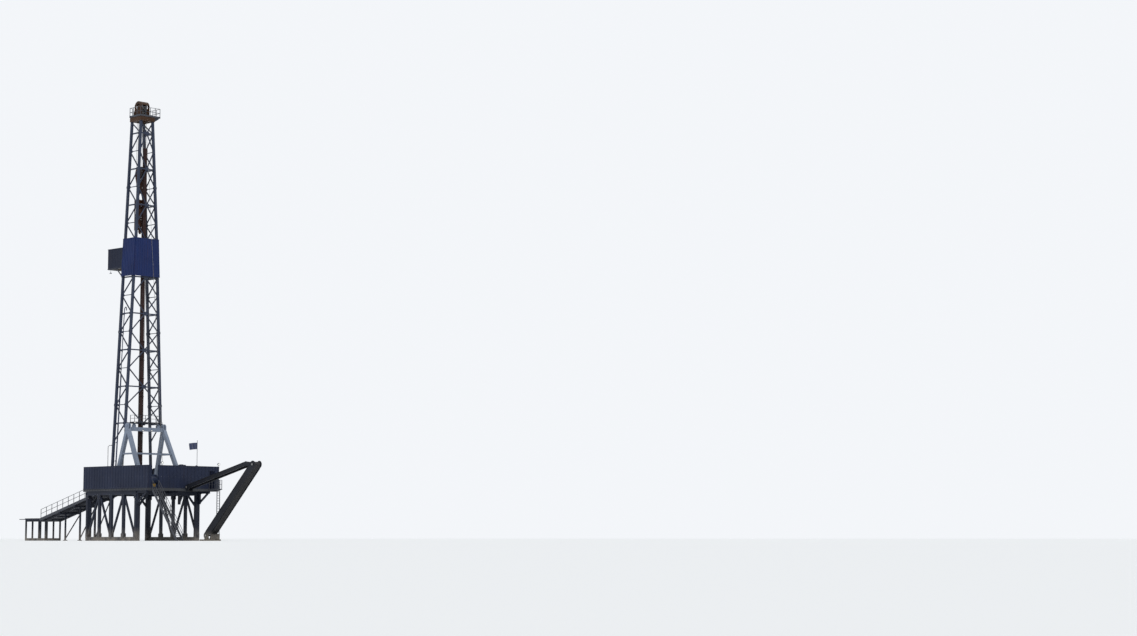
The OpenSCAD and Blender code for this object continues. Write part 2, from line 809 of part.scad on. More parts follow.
module racking_fingers() {
    rail = 14;
    color("gold")
    for (side = [-1, 1], i = [0 : finger_count - 1])
        translate([side > 0 ? monkey_half + 22 : -board_half + rail, board_back + 24 + i * finger_pitch,
            board_z - 11])
            cube([board_half - rail - monkey_half - 22, finger_w, 8]);
}

module racking_walls() {
    t = 5;
    color("darkslateblue") {
        for (side = [-1, 1])
            block([side * (board_half - t / 2) - t / 2, board_back, board_z + seat],
                [side * (board_half - t / 2) + t / 2, board_front - t - seat, board_z + board_wall_h]);
        block([-board_half, board_front - t, board_z + seat],
            [board_half, board_front, board_z + board_wall_h]);
    }
}

// Cladding sheets on the outer faces of the mast round the racking board
clad_t = 5;

module cladding_side(side) {
    color("mediumblue")
    side_plane(side)
        translate([side > 0 ? leg_w / 2 + seat + 3 : -leg_w / 2 - seat - 3 - clad_t,
            -mast_rear - leg_w / 2 - 4, up(clad_low)])
            cube([clad_t, mast_depth + leg_w + 6, clad_h]);
}

module mast_cladding() {
    for (side = [-1, 1]) cladding_side(side);
    cladding_back();
}

module cladding_back() {
    y = -mast_rear - leg_w / 2 - 4 - clad_t - seat;
    low = half_w(clad_low) + leg_w / 2 + 3;
    high = half_w(clad_low + clad_h) + leg_w / 2 + 3;
    color("mediumblue")
    translate([0, y + clad_t, clad_low]) rotate([90, 0, 0]) linear_extrude(clad_t)
        polygon([[-low, 0], [low, 0], [high, clad_h], [-high, clad_h]]);
}

// Guide beam of the top drive: an H section on brackets from the girts
guide_front = -62;
guide_back = -88;
guide_w = 44;
guide_low = 760;
guide_high = 4560;

module guide_beam() {
    f = 6;
    color("slategray") {
        block([-guide_w / 2, guide_front - f, guide_low], [guide_w / 2, guide_front, guide_high]);
        block([-guide_w / 2, guide_back, guide_low], [guide_w / 2, guide_back + f, guide_high]);
        block([-f / 2, guide_back + 1, guide_low], [f / 2, guide_front - 1, guide_high]);
        for (i = [0 : panels - 1])
            block([-12, back_y(girt(i)) + girt_w / 2 + seat, girt(i) - 7], [12, guide_back + 1, girt(i) + 7]);
        block([-12, guide_back + 1, guide_low - 30], [12, guide_front, guide_low + 1]);
    }
}

// The drilling lines hang between the crown and the block, on both sides of the sheaves,
// but the rear side of one middle sheave carries the fast line
fast_sheave = floor(sheave_count / 2);        // counted from the left, from 0

module drilling_lines() {
    color("silver")
    for (i = [0 : sheave_count - 1], side = [-1, 1])
        if (side > 0 || i != fast_sheave)
            translate([(i - (sheave_count - 1) / 2) * sheave_pitch, side * line_y, block_z])
                cylinder(d = line_d, h = crown_axle_z - block_z, $fn = 13);
}

// The fast line runs from the crown down to the drum
module fast_line() {
    x = (fast_sheave - (sheave_count - 1) / 2) * sheave_pitch;
    top = [x, -line_y, crown_axle_z];
    low = [-20, draw_y + drum_r + line_r + seat, floor_h + draw_z];
    color("silver") {
        v = low - top;
        translate(top) rotate([0, acos(v[2] / norm(v)), atan2(v[1], v[0])])
            cylinder(d = line_d, h = norm(v), $fn = 13);
    }
}

// Travelling block: two shaped cheeks, a top cover and the bail that carries the top drive
block_low = block_z - 165;

module travelling_block() {
    cheek = 6;
    color("goldenrod") {
        for (side = [-1, 1]) translate([side * (sheave_span - 4) - cheek / 2, 0, block_z])
            rotate([90, 0, 90]) linear_extrude(cheek) difference() {
                hull() {
                    circle(r = sheave_r + 8);
                    translate([-22, block_low - block_z + 26]) square([44, 10]);
                    translate([-30, 60]) square([60, 22]);
                }
                circle(r = 8 + run_gap);
            }
        block([-sheave_span + 6, -20, block_z + sheave_r + 9], [sheave_span - 6, 20, block_z + 82]);
        block([-sheave_span + 6, -20, block_low + 28], [sheave_span - 6, 20, block_z - sheave_r - 12]);
        translate([0, 0, block_low]) cylinder(r = 16, h = 40);
    }
}

module block_sheaves() {
    color("dimgray")
    translate([0, 0, block_z]) {
        for (i = [0 : sheave_count - 1]) sheave((i - (sheave_count - 1) / 2) * sheave_pitch);
        rotate([0, 90, 0]) cylinder(r = 14.5, h = 2 * (sheave_span - 8), center = true);
        rotate([0, 90, 0]) cylinder(r = 8, h = 2 * sheave_span + 6, center = true);
    }
}

// Top drive: motor housing, gear case, gooseneck and the pipe handler's ring
drive_top = block_low - 38;
drive_low = drive_top - 502;

module top_drive() {
    color("goldenrod") {
        translate([0, 0, drive_top - 26]) cylinder(r = 20, h = block_low - drive_top + 26 - seat);
        for (side = [-1, 1])
            bar([side * 16, 0, drive_top - 10], [side * 46, 0, drive_top - 112], 14, 20);
        translate([0, 0, drive_top - 200]) hull() {
            translate([-60, -34, 0]) cube([120, 68, 96]);
            translate([-50, -40, 6]) cube([100, 80, 84]);
        }
        translate([0, 0, drive_top - 360]) cylinder(r = 46, h = 161);
        translate([46, 6, drive_top - 352]) cylinder(r = 24, h = 150);
        translate([0, 0, drive_top - 420]) cylinder(r = 34, h = 61);
        translate([0, 0, drive_low]) cylinder(r = 12, h = drive_top - 419 - drive_low);
        block([-50, -12, drive_low + 44], [50, 12, drive_low + 70]);
        translate([0, 0, link_z]) rotate([0, 90, 0]) cylinder(r = link_pin_r, h = 142, center = true);
    }
}

module dolly() {
    claw = 5;
    gap = 0.6;
    color("slategray")
    for (level = [0, 1]) {
        z = drive_top - 190 - level * 160;
        back = level == 0 ? -40 : -46;
        block([-38, guide_front + gap, z], [38, back - seat, z + 40]);
        for (side = [-1, 1]) {
            block([side * (guide_w / 2 + gap + claw / 2) - claw / 2, guide_front - 6 - gap - claw, z],
                [side * (guide_w / 2 + gap + claw / 2) + claw / 2, guide_front + gap + 1, z + 40]);
            block([side * (guide_w / 2 - 2) - 6, guide_front - 6 - gap - claw, z],
                [side * (guide_w / 2 - 2) + 7, guide_front - 6 - gap, z + 40]);
        }
    }
}

// Elevator links, which swing on the pipe handler's bar, and the elevator that they carry
link_z = drive_low + 57;
link_l = 270;
link_pin_r = 8;

module links() {
    color("dimgray")
    for (side = [-1, 1]) translate([side * 60, 0, link_z]) {
        difference() {
            union() {
                rotate([0, 90, 0]) cylinder(r = 16, h = 10, center = true);
                translate([-5, -7, -link_l]) cube([10, 14, link_l]);
                translate([0, 0, -link_l]) rotate([0, 90, 0]) cylinder(r = 14, h = 10, center = true);
            }
            rotate([0, 90, 0]) cylinder(r = link_pin_r + run_gap, h = 20, center = true);
            translate([0, 0, -link_l]) rotate([0, 90, 0]) cylinder(r = 6 + run_gap, h = 20, center = true);
        }
    }
}

module elevator() {
    color("goldenrod")
    translate([0, 0, link_z - link_l]) difference() {
        union() {
            translate([0, 0, -20]) cylinder(r = 34, h = 40);
            rotate([0, 90, 0]) cylinder(r = 6, h = 140, center = true);
        }
        translate([0, 0, -21]) cylinder(r = 8, h = 42);
    }
}

// Pipe ramp: two girders with a trough between them, sloping from the deck to the catwalk
ramp_top = [floor_front + seat, floor_h - 4];
ramp_end = [floor_front + ramp_run, ramp_low];
ramp_angle = atan((ramp_top[1] - ramp_end[1]) / (ramp_end[0] - ramp_top[0]));
ramp_l = norm(ramp_end - ramp_top);

module on_ramp() {
    translate([0, ramp_top[0], ramp_top[1]]) rotate([-ramp_angle, 0, 0]) children();
}

ramp_girder = 34;
walk_depth = 26;

module pipe_ramp() {
    girder = ramp_girder;
    w = ramp_w / 2;
    color("dimgray")
    intersection() {
        on_ramp() {
            for (side = [-1, 1])
                block([side * (w - 6) - 6, -20, -girder], [side * (w - 6) + 6, ramp_l, 6]);
            block([-w + 1, -20, -8], [w - 1, ramp_l, -3]);
            for (i = [0 : 8]) translate([0, 10 + i * (ramp_l - 30) / 8, 0])
                block([-w + 1, 0, -girder + 4], [w - 1, 10, -7]);
        }
        block([-w - 1, ramp_top[0], 0], [w + 1, ramp_end[0] - seat, 900]);
    }
}

module ramp_walkway() {
    x0 = -ramp_w / 2 - seat;
    color("dimgray")
    intersection() {
        on_ramp() {
            block([x0 - walk_w, -20, -6], [x0, ramp_l, 0]);
            block([x0 - walk_w, -20, -walk_depth], [x0 - walk_w + 8, ramp_l, 4]);
            for (i = [0 : 8]) translate([0, 14 + i * (ramp_l - 36) / 8, 0])
                block([x0 - walk_w, 0, -20], [x0, 8, -5]);
        }
        block([x0 - walk_w - 1, ramp_top[0], 0], [x0 + 1, ramp_end[0] - seat, 900]);
    }
}

module ramp_railing() {
    x = -ramp_w / 2 - walk_w + 4;
    h = 100;
    d = 5;
    posts = 11;
    slope = tan(ramp_angle);
    y0 = ramp_top[0] + 12;
    y1 = ramp_end[0] - 22;
    function z_at(y) = ramp_top[1] + 5 - (y - ramp_top[0]) * slope;
    color("dimgray")
    translate([x, 0, 0]) {
        for (level = [h, h / 2])
            flat_bar([y0, z_at(y0) + level], [y1, z_at(y1) + level], d - 1, d - 1);
        for (i = [0 : posts]) {
            y = y0 + (y1 - y0) * i / posts;
            block([-d / 2, y - d / 2, z_at(y)], [d / 2, y + d / 2, z_at(y) + h + 1]);
        }
    }
}

module ramp_trestles() {
    w = ramp_w / 2;
    slope = tan(ramp_angle);
    color("midnightblue")
    for (y = [floor_front + 260, floor_front + 560, floor_front + 860]) {
        half = 8;
        z = ramp_top[1] - (y + half - ramp_top[0]) * slope - ramp_girder / cos(ramp_angle) - seat;
        for (side = [-1, 1]) {
            block([side * (w - 8) - 8, y - 8, 0], [side * (w - 8) + 8, y + 8, z]);
            block([side * (w - 8) - 14, y - 26, 0], [side * (w - 8) + 14, y + 26, 8]);
        }
        block([-w - walk_w, y - half, z - 16], [w, y + half, z]);
        block([-w - walk_w, y - half, z - 1],
            [-w - walk_w + 7, y + half, z + (ramp_girder - walk_depth) / cos(ramp_angle)]);
        translate([0, y, 0]) wall_bar([-w + 8, 20], [w - 8, z - 16], 10, 10);
    }
}

module catwalk() {
    y0 = ramp_end[0];
    y1 = y0 + catwalk_l;
    w = ramp_w / 2;
    beam = 30;
    deck = ramp_low - 4;
    color("midnightblue") {
        for (side = [-1, 1]) {
            block([side * (w - 8) - 8, y0, deck - beam], [side * (w - 8) + 8, y1, deck - 6]);
            block([side * (w - 8) - 8, y0, 0], [side * (w - 8) + 8, y1, beam]);
            for (i = [0 : 3]) translate([0, y0 + i * (catwalk_l - 16) / 3, 0])
                block([side * (w - 8) - 8, 0, 4], [side * (w - 8) + 8, 16, deck - 8]);
        }
        for (i = [0 : 3]) translate([0, y0 + i * (catwalk_l - 16) / 3, 0])
            block([-w, 0, 6], [w, 16, beam - 4]);
        block([-w - walk_w, y0, deck - 7], [w, y1, deck]);
    }
}

// Stair: two stringers with handrails
module stair() {
    y0 = -floor_rear - seat;
    x0 = -stair_left;
    stringer = 26;
    d = 5;
    h = 96;
    color("slategray")
    for (x = [x0 + 3, x0 + stair_w - 3]) translate([x, 0, 0]) {
        intersection() {
            flat_bar([y0 + 40, floor_h - 8 + 40 * tan(stair_slope)],
                [y0 - stair_run - 60, floor_h - 8 - (stair_run + 60) * tan(stair_slope)], stringer, 6);
            block([-4, y0 - stair_run - 60, 0], [4, y0, floor_h]);
        }
        for (level = [h, h / 2])
            flat_bar([y0 - 8, floor_h - 8 * tan(stair_slope) + level],
                [y0 - stair_run + 24, 24 * tan(stair_slope) + level], d - 1, d - 1);
        for (i = [0 : 6]) {
            y = y0 - 8 - i * (stair_run - 32) / 6;
            z = floor_h + (y - y0) * tan(stair_slope);
            block([-d / 2, y - d / 2, z - 24], [d / 2, y + d / 2, z + h + 1]);
        }
    }
}

module stair_treads() {
    tread = 22;
    color("slategray")
    for (i = [1 : step_count]) {
        z = floor_h - i * step_rise;
        y = -floor_rear - i * step_rise / tan(stair_slope);
        block([-stair_left + 6 + seat, y - tread / 2 - 6, z - 3],
            [-stair_left + stair_w - 6 - seat, y + tread / 2 - 6, z]);
    }
}

// Small landing at the rear right corner with its railing and ladder
module rear_landing() {
    x0 = landing_right - landing_w;
    x1 = landing_right;
    y1 = -floor_rear - seat;
    y0 = y1 - landing_l;
    d = 5;
    color("slategray") {
        block([x0, y0, floor_h - 10], [x1, y1, floor_h]);
        for (x = [x0 + 8, x1 - 8]) translate([x, 0, 0])
            flat_bar([y0 + 20, floor_h - 8], [y1 - 6, floor_h - 24], 8, 8);
        block([x0, y1 - 8, deck_under], [x1, y1, floor_h]);
        railing([[x0 + 4, y1 - 4], [x0 + 4, y0 + 4]], floor_h - 1, 104, d);
        railing([[x1 - 4, y1 - 4], [x1 - 4, y0 + 4]], floor_h - 1, 104, d);
        for (x = [x0 + 28, x0 + 66])
            block([x, y0 - 6, 0], [x + 6, y0 + 1, floor_h + 104]);
        for (z = [30 : 30 : floor_h + 90])
            block([x0 + 30, y0 - 5, z], [x0 + 68, y0 - 1, z + 4]);
    }
}

// Cable boom: two folding arms, hinged on the deck's rear edge and on a skid, that meet at a knee
hinge = [-floor_rear - arm_d / 2 - 4, floor_h + hinge_up];
bend = [-bend_y, bend_z];
knee = [-knee_y, knee_z];
foot = [-foot_y, lower_d / 2 + 20];
boom_pin = 9;
boom_plate = 5;

// Strip in the plane of the boom's side
module strip(p, q, w) {
    v = q - p;
    translate(p) rotate(atan2(v[1], v[0])) translate([0, -w / 2]) square([norm(v), w]);
    translate(p) circle(r = w / 2 + 2);
    translate(q) circle(r = w / 2 + 2);
}

// The two side plates of an arm, with its outline given as a flat shape and a pin hole at each end
module side_plates(w, ends) {
    for (x = [-w / 2, w / 2 - boom_plate]) translate([x, 0, 0]) rotate([90, 0, 90]) linear_extrude(boom_plate)
        difference() {
            children();
            for (p = ends) translate(p) circle(r = boom_pin + run_gap);
        }
}

// Floor of an arm and its cross-bars, up to a distance from its far end
module trough(p, q, d, w, stop) {
    v = q - p;
    l = norm(v);
    n = round(l / 110);
    translate([0, p[0], p[1]]) rotate([atan2(v[1], v[0]), 0, 0]) {
        for (i = [1 : n - 1])
            block([-w / 2 + 1, i * l / n - 4, -d / 2 + 2], [w / 2 - 1, i * l / n + 4, -d / 2 + 9]);
        block([-w / 2 + 1, 30, -d / 2 + 8], [w / 2 - 1, l - stop, -d / 2 + 11]);
    }
}

module boom_upper() {
    color("dimgray") translate([boom_x, 0, 0]) {
        side_plates(boom_w, [hinge, knee]) {
            strip(hinge, bend, arm_d);
            strip(bend, knee, arm_d);
        }
        trough(hinge, bend, arm_d, boom_w, 20);
    }
}

module boom_lower() {
    w = boom_w + 12;
    color("dimgray") translate([boom_x, 0, 0]) {
        side_plates(w, [foot]) strip(foot, knee, lower_d);
        trough(foot, knee, lower_d, w, 120);
        translate([0, knee[0], knee[1]]) rotate([0, 90, 0])
            cylinder(r = boom_pin, h = boom_w + 24, center = true);
    }
}

module boom_base() {
    behind = 150;
    ahead = 116;
    color("dimgray") translate([boom_x, 0, 0]) {
        for (x = [-46, 34]) block([x, foot[0] - behind, 0], [x + 12, foot[0] + ahead, 16]);
        for (y = [-behind, -6, ahead - 12]) block([-46, foot[0] + y, 0], [46, foot[0] + y + 12, 12]);
        for (side = [-1, 1]) hull() {
            block([side * 36 - 3, foot[0] - 44, 14], [side * 36 + 3, foot[0] + 44, 16]);
            translate([side * 36 - 3, foot[0], foot[1]]) rotate([0, 90, 0]) cylinder(r = 20, h = 6);
        }
        translate([0, foot[0], foot[1]]) rotate([0, 90, 0])
            cylinder(r = boom_pin, h = boom_w + 24, center = true);
        for (side = [-1, 1])
            block([side * 30 - 3, hinge[0] - 15, deck_under],
                [side * 30 + 3, -floor_rear - seat, hinge[1] + 15]);
        block([-33, -floor_rear - seat - 5, deck_under], [33, -floor_rear - seat, deck_under + 20]);
        translate([0, hinge[0], hinge[1]]) rotate([0, 90, 0])
            cylinder(r = boom_pin, h = boom_w + 12, center = true);
    }
}

module floodlights() {
    color("gainsboro")
    for (p = [[floor_right - 10, -floor_rear + 8], [-267, -floor_rear + 8]])
        translate([p[0], p[1], wall_top + 2 * seat]) {
            cylinder(r = 2.5, h = 24, $fn = 16);
            translate([0, -5, 31]) rotate([110, 0, 0]) cylinder(r = 13, h = 12);
        }
}

flag_y = -floor_rear + 8;
pole_r = 2.5;

module flagpole() {
    color("gainsboro") translate([pole_x, flag_y, wall_top + 2 * seat]) {
        cylinder(r = pole_r, h = pole_h);
        cylinder(r = 7, h = 5);
        translate([0, 0, pole_h - 1]) cylinder(r = 4, h = 6);
    }
}

module flag() {
    color("midnightblue")
    translate([pole_x - pole_r - seat - flag_l, flag_y - 1, wall_top + pole_h - 20 - flag_h])
        cube([flag_l, 2, flag_h]);
}

sub_side(-1);  // substructure_left
sub_side(1);  // substructure_right
sub_cross_frames();  // substructure_cross_frames
floor_brackets();
floor_deck();
rotary_table();
windwall_left();
windwall_front();
windwall_rear();
windwall_right();
doghouse_walls();
doghouse_roof();
doghouse_door();
doghouse_window();
drawworks_skid();
drawworks_drum();
drawworks_motors();
mast_side(-1);  // mast_side_left
mast_side(1);  // mast_side_right
mast_back();
mast_shoes();
a_frame(-1);  // a_frame_left
a_frame(1);  // a_frame_right
a_frame_beams();
crown_frame();
crown_sheaves();
crown_guard();
crown_platform();
crown_railing();
racking_board();
racking_fingers();
racking_walls();
mast_cladding();
mast_walkway();
guide_beam();
drilling_lines();
fast_line();
travelling_block();
block_sheaves();
top_drive();
dolly();
links();
elevator();
pipe_ramp();
ramp_walkway();
ramp_railing();
ramp_trestles();
catwalk();
stair();
stair_treads();
rear_landing();
boom_upper();
boom_lower();
boom_base();
floodlights();
flagpole();
flag();
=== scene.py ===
# Land drilling rig at one tenth of real size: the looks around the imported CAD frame.
# Sizes in the dictionaries are millimetres, and meshes are made in metres.
import json
import math
import bpy
import numpy as np
from mathutils import Matrix, Vector


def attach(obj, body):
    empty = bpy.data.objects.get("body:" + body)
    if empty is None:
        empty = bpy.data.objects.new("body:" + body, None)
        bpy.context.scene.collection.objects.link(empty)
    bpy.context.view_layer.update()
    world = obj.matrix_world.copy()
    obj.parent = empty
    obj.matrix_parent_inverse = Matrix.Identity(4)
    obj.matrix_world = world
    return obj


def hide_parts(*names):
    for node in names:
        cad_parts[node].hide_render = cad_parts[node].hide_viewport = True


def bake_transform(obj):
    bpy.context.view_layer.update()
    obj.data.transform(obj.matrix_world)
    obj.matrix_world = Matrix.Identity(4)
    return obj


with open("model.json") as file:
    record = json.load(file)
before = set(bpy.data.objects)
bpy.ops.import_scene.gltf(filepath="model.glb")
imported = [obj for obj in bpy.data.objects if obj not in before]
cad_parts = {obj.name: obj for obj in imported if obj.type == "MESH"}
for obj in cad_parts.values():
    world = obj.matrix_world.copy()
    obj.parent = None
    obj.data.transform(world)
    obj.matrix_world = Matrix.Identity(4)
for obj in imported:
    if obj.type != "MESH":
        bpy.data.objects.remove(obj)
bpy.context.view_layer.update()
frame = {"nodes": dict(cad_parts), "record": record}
print("frame loaded:", len(frame["nodes"]), "nodes")

mm = 0.001
sides = (-1, 1)
alongX, alongY, alongZ = (1, 0, 0), (0, 1, 0), (0, 0, 1)
scene = bpy.context.scene
rig = dict(floorTop=588, floorLeft=-456, floorRight=536, floorFront=370, floorRear=-867, wallHeight=255,
           wallIn=2, mastFoot=280, mastTop=83, crownUnder=4880, mastFront=75, mastDepth=204,
           mastTopDepth=172, kink=3500, leg=26, girtLow=1345, panel=424, panels=8, crownAxle=5056,
           sheaveR=50, sheavePitch=18, sheaveCount=4, blockAxle=4265, line=3.5, boardTop=3166)
deckZ, legHalf = rig["floorTop"], rig["leg"] / 2


# half the distance between the legs: a straight taper from the deck to the crown
def halfWidth(z):
    return rig["mastFoot"] - (np.asarray(z, float) - deckZ) * (
        (rig["mastFoot"] - rig["mastTop"]) / (rig["crownUnder"] - deckZ))


# middle of the rear legs: straight up to the kink, then leaning to the crown's depth
def backY(z):
    lean = np.maximum(0, np.asarray(z, float) - rig["kink"]) / (rig["crownUnder"] - rig["kink"])
    return rig["mastFront"] - rig["mastDepth"] + lean * (rig["mastDepth"] - rig["mastTopDepth"])


girtZ = rig["girtLow"] + rig["panel"] * np.arange(rig["panels"] + 1)
midZ = girtZ[:-1] + rig["panel"] / 2

# mesh tools: every shape is a pair (points, list of face arrays)
cornerPick = np.array([[0, 0, 0], [1, 0, 0], [1, 1, 0], [0, 1, 0], [0, 0, 1], [1, 0, 1], [1, 1, 1],
                       [0, 1, 1]], float)
boxFaces = np.array([[0, 3, 2, 1], [4, 5, 6, 7], [0, 1, 5, 4], [1, 2, 6, 5], [2, 3, 7, 6], [3, 0, 4, 7]])


def unit(v):
    return v / np.linalg.norm(v, axis=-1, keepdims=True)


def rowsOf(points):
    return np.atleast_2d(np.asarray(points, float))


# points from three coordinates, each a number or a row of numbers
def xyz(x, y, z):
    return np.stack(np.broadcast_arrays(*(np.asarray(c, float) for c in (x, y, z))), -1)


# point on the middle plane of a mast side, moved outwards
def onSide(side, y, z, out=0.0):
    return xyz(side * (halfWidth(z) + out), y, z)


# every pair from two rows of numbers, as two columns
def pairs(a, b):
    return np.array([[u, v] for u in a for v in b], float).T


# boxes between opposite corners: each point takes the lower or the higher one on each axis
def boxes(one, other):
    one, other = np.broadcast_arrays(rowsOf(one), rowsOf(other))
    low, high = np.minimum(one, other), np.maximum(one, other)
    points = low[:, None] + cornerPick[None] * (high - low)[:, None]
    faces = boxFaces[None] + 8 * np.arange(len(low))[:, None, None]
    return points.reshape(-1, 3), [faces.reshape(-1, 4)]


# faces of prisms whose points are a first ring and a second ring of k corners, one prism after another
def prismFaces(k, count):
    first = 2 * k * np.arange(count)[:, None]
    i = np.arange(k)
    j = (i + 1) % k
    quads = np.stack([i, j, k + j, k + i], 1)[None] + first[:, :, None]
    return [quads.reshape(-1, 4), i[::-1][None] + first, k + i[None] + first]


# the two directions of a section that is carried along t, the first one nearest to ref
def across(t, ref):
    u = unit(ref - (t @ ref)[..., None] * t)
    return u, np.cross(t, u)


# a polygon's ring of corners (u, v) is carried from each p to its q
def prismBars(p, q, section, ref=alongX):
    p, q = np.broadcast_arrays(rowsOf(p), rowsOf(q))
    u, v = across(unit(q - p), np.asarray(ref, float))
    section = np.asarray(section, float)
    ring = section[None, :, 0, None] * u[:, None] + section[None, :, 1, None] * v[:, None]
    points = np.concatenate([p[:, None] + ring, q[:, None] + ring], 1).reshape(-1, 3)
    return points, prismFaces(len(section), len(p))


def rectangle(width, depth):
    w, d = width / 2, depth / 2
    return [[-w, -d], [w, -d], [w, d], [-w, d]]


def bars(p, q, width, depth, ref=alongX):
    return prismBars(p, q, rectangle(width, depth), ref)


# corners on a circle, the first one on the first axis
def circle(radius, n):
    a = 2 * np.pi * np.arange(n) / n
    return np.stack([radius * np.cos(a), radius * np.sin(a)], 1)


def rods(p, q, radius, n=10):
    t = unit(rowsOf(np.asarray(q, float) - np.asarray(p, float)))[0]
    return prismBars(p, q, circle(radius, n), alongX if abs(t[0]) < 0.9 else alongY)


# hexagon heads standing on a face
def bolts(at, normal, radius=2.2, height=1.8):
    at = rowsOf(at)
    return rods(at, at + np.asarray(normal, float) * height, radius, 6)


# spots spread round a circle about the Z axis, or about the X axis
def roundSpots(count, radius, centre, aboutX=False):
    a, b = circle(radius, count).T
    return np.asarray(centre, float) + (xyz(0, a, b) if aboutX else xyz(a, b, 0))


# grid of points to quads, round in its second direction, with its ends capped or joined
def shell(grid, closed=False):
    k, n = grid.shape[:2]
    rows = np.arange(k if closed else k - 1)[:, None]
    i = np.arange(n)
    j = (i + 1) % n
    nextRow = (rows + 1) % k
    quads = np.stack([rows * n + i, rows * n + j, nextRow * n + j, nextRow * n + i], -1)
    faces = [quads.reshape(-1, 4)]
    if not closed:
        faces += [i[::-1][None], (k - 1) * n + i[None]]
    return grid.reshape(-1, 3), faces


# profile (radius, height) turned round an axis; it runs from the bottom, outwards, up and back in
def turned(profile, centre, axis=alongZ, n=40, closed=False):
    profile = np.asarray(profile, float)
    t = unit(np.asarray(axis, float))
    u, v = across(t, np.array(alongX if abs(t[0]) < 0.9 else alongY, float))
    a = 2 * np.pi * np.arange(n) / n
    ring = np.cos(a)[:, None] * u + np.sin(a)[:, None] * v
    out, up = profile.T[:, :, None, None]
    return shell(np.asarray(centre, float) + out * ring[None] + up * t, closed)


# ring of corners carried along a path, turned so that ref stays in the section's first direction
def sweep(path, section, ref=alongX):
    path, section = np.asarray(path, float), np.asarray(section, float)
    u, v = across(unit(np.gradient(path, axis=0)), np.asarray(ref, float))
    a, b = section.T[:, None, :, None]
    return shell(path[:, None] + a * u[:, None] + b * v[:, None])


def tube(path, radius, n=12, ref=alongX):
    return sweep(path, circle(radius, n), ref)


# polygon given a thickness along one direction, and turned to face outwards
def plate(loop, offset):
    loop, offset = np.asarray(loop, float), np.asarray(offset, float)
    if np.cross(loop[1] - loop[0], loop[2] - loop[1]) @ offset < 0:
        loop = loop[::-1]
    return np.concatenate([loop, loop + offset]), prismFaces(len(loop), 1)


# smooth curve through a few points, by Catmull-Rom
def curveThrough(points, steps=10):
    p = np.asarray(points, float)
    p = np.concatenate([2 * p[:1] - p[1:2], p, 2 * p[-1:] - p[-2:-1]])
    s = np.linspace(0, 1, steps, endpoint=False)[None, :, None]
    a, b, c, d = (p[i:len(p) - 3 + i, None] for i in range(4))
    bend, twist = 2 * a - 5 * b + 4 * c - d, 3 * b - a - 3 * c + d
    run = 0.5 * (2 * b + (c - a) * s + bend * s ** 2 + twist * s ** 3)
    return np.concatenate([run.reshape(-1, 3), p[-2:-1]])


# one object from several shapes; its slot's own finish unless another is given
def makePiece(name, shapes, slotName, finish=None, body="rig", bevel=0, smooth=38):
    points, faces, start = [], [], 0
    for verts, faceSets in shapes:
        points.append(verts * mm)
        for f in faceSets:
            faces += (np.asarray(f) + start).tolist()
        start += len(verts)
    mesh = bpy.data.meshes.new(name)
    mesh.from_pydata(np.concatenate(points).tolist(), [], faces)
    mesh.shade_smooth()
    mesh.set_sharp_from_angle(angle=math.radians(smooth))
    mesh.materials.append(finish or finishes[slotName])
    piece = bpy.data.objects.new(name, mesh)
    scene.collection.objects.link(piece)
    if bevel:
        soften = piece.modifiers.new("softEdges", "BEVEL")
        soften.width = bevel * mm
        soften.segments = 2
        soften.limit_method = "ANGLE"
        soften.harden_normals = True
    if body:
        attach(piece, body)
    return piece


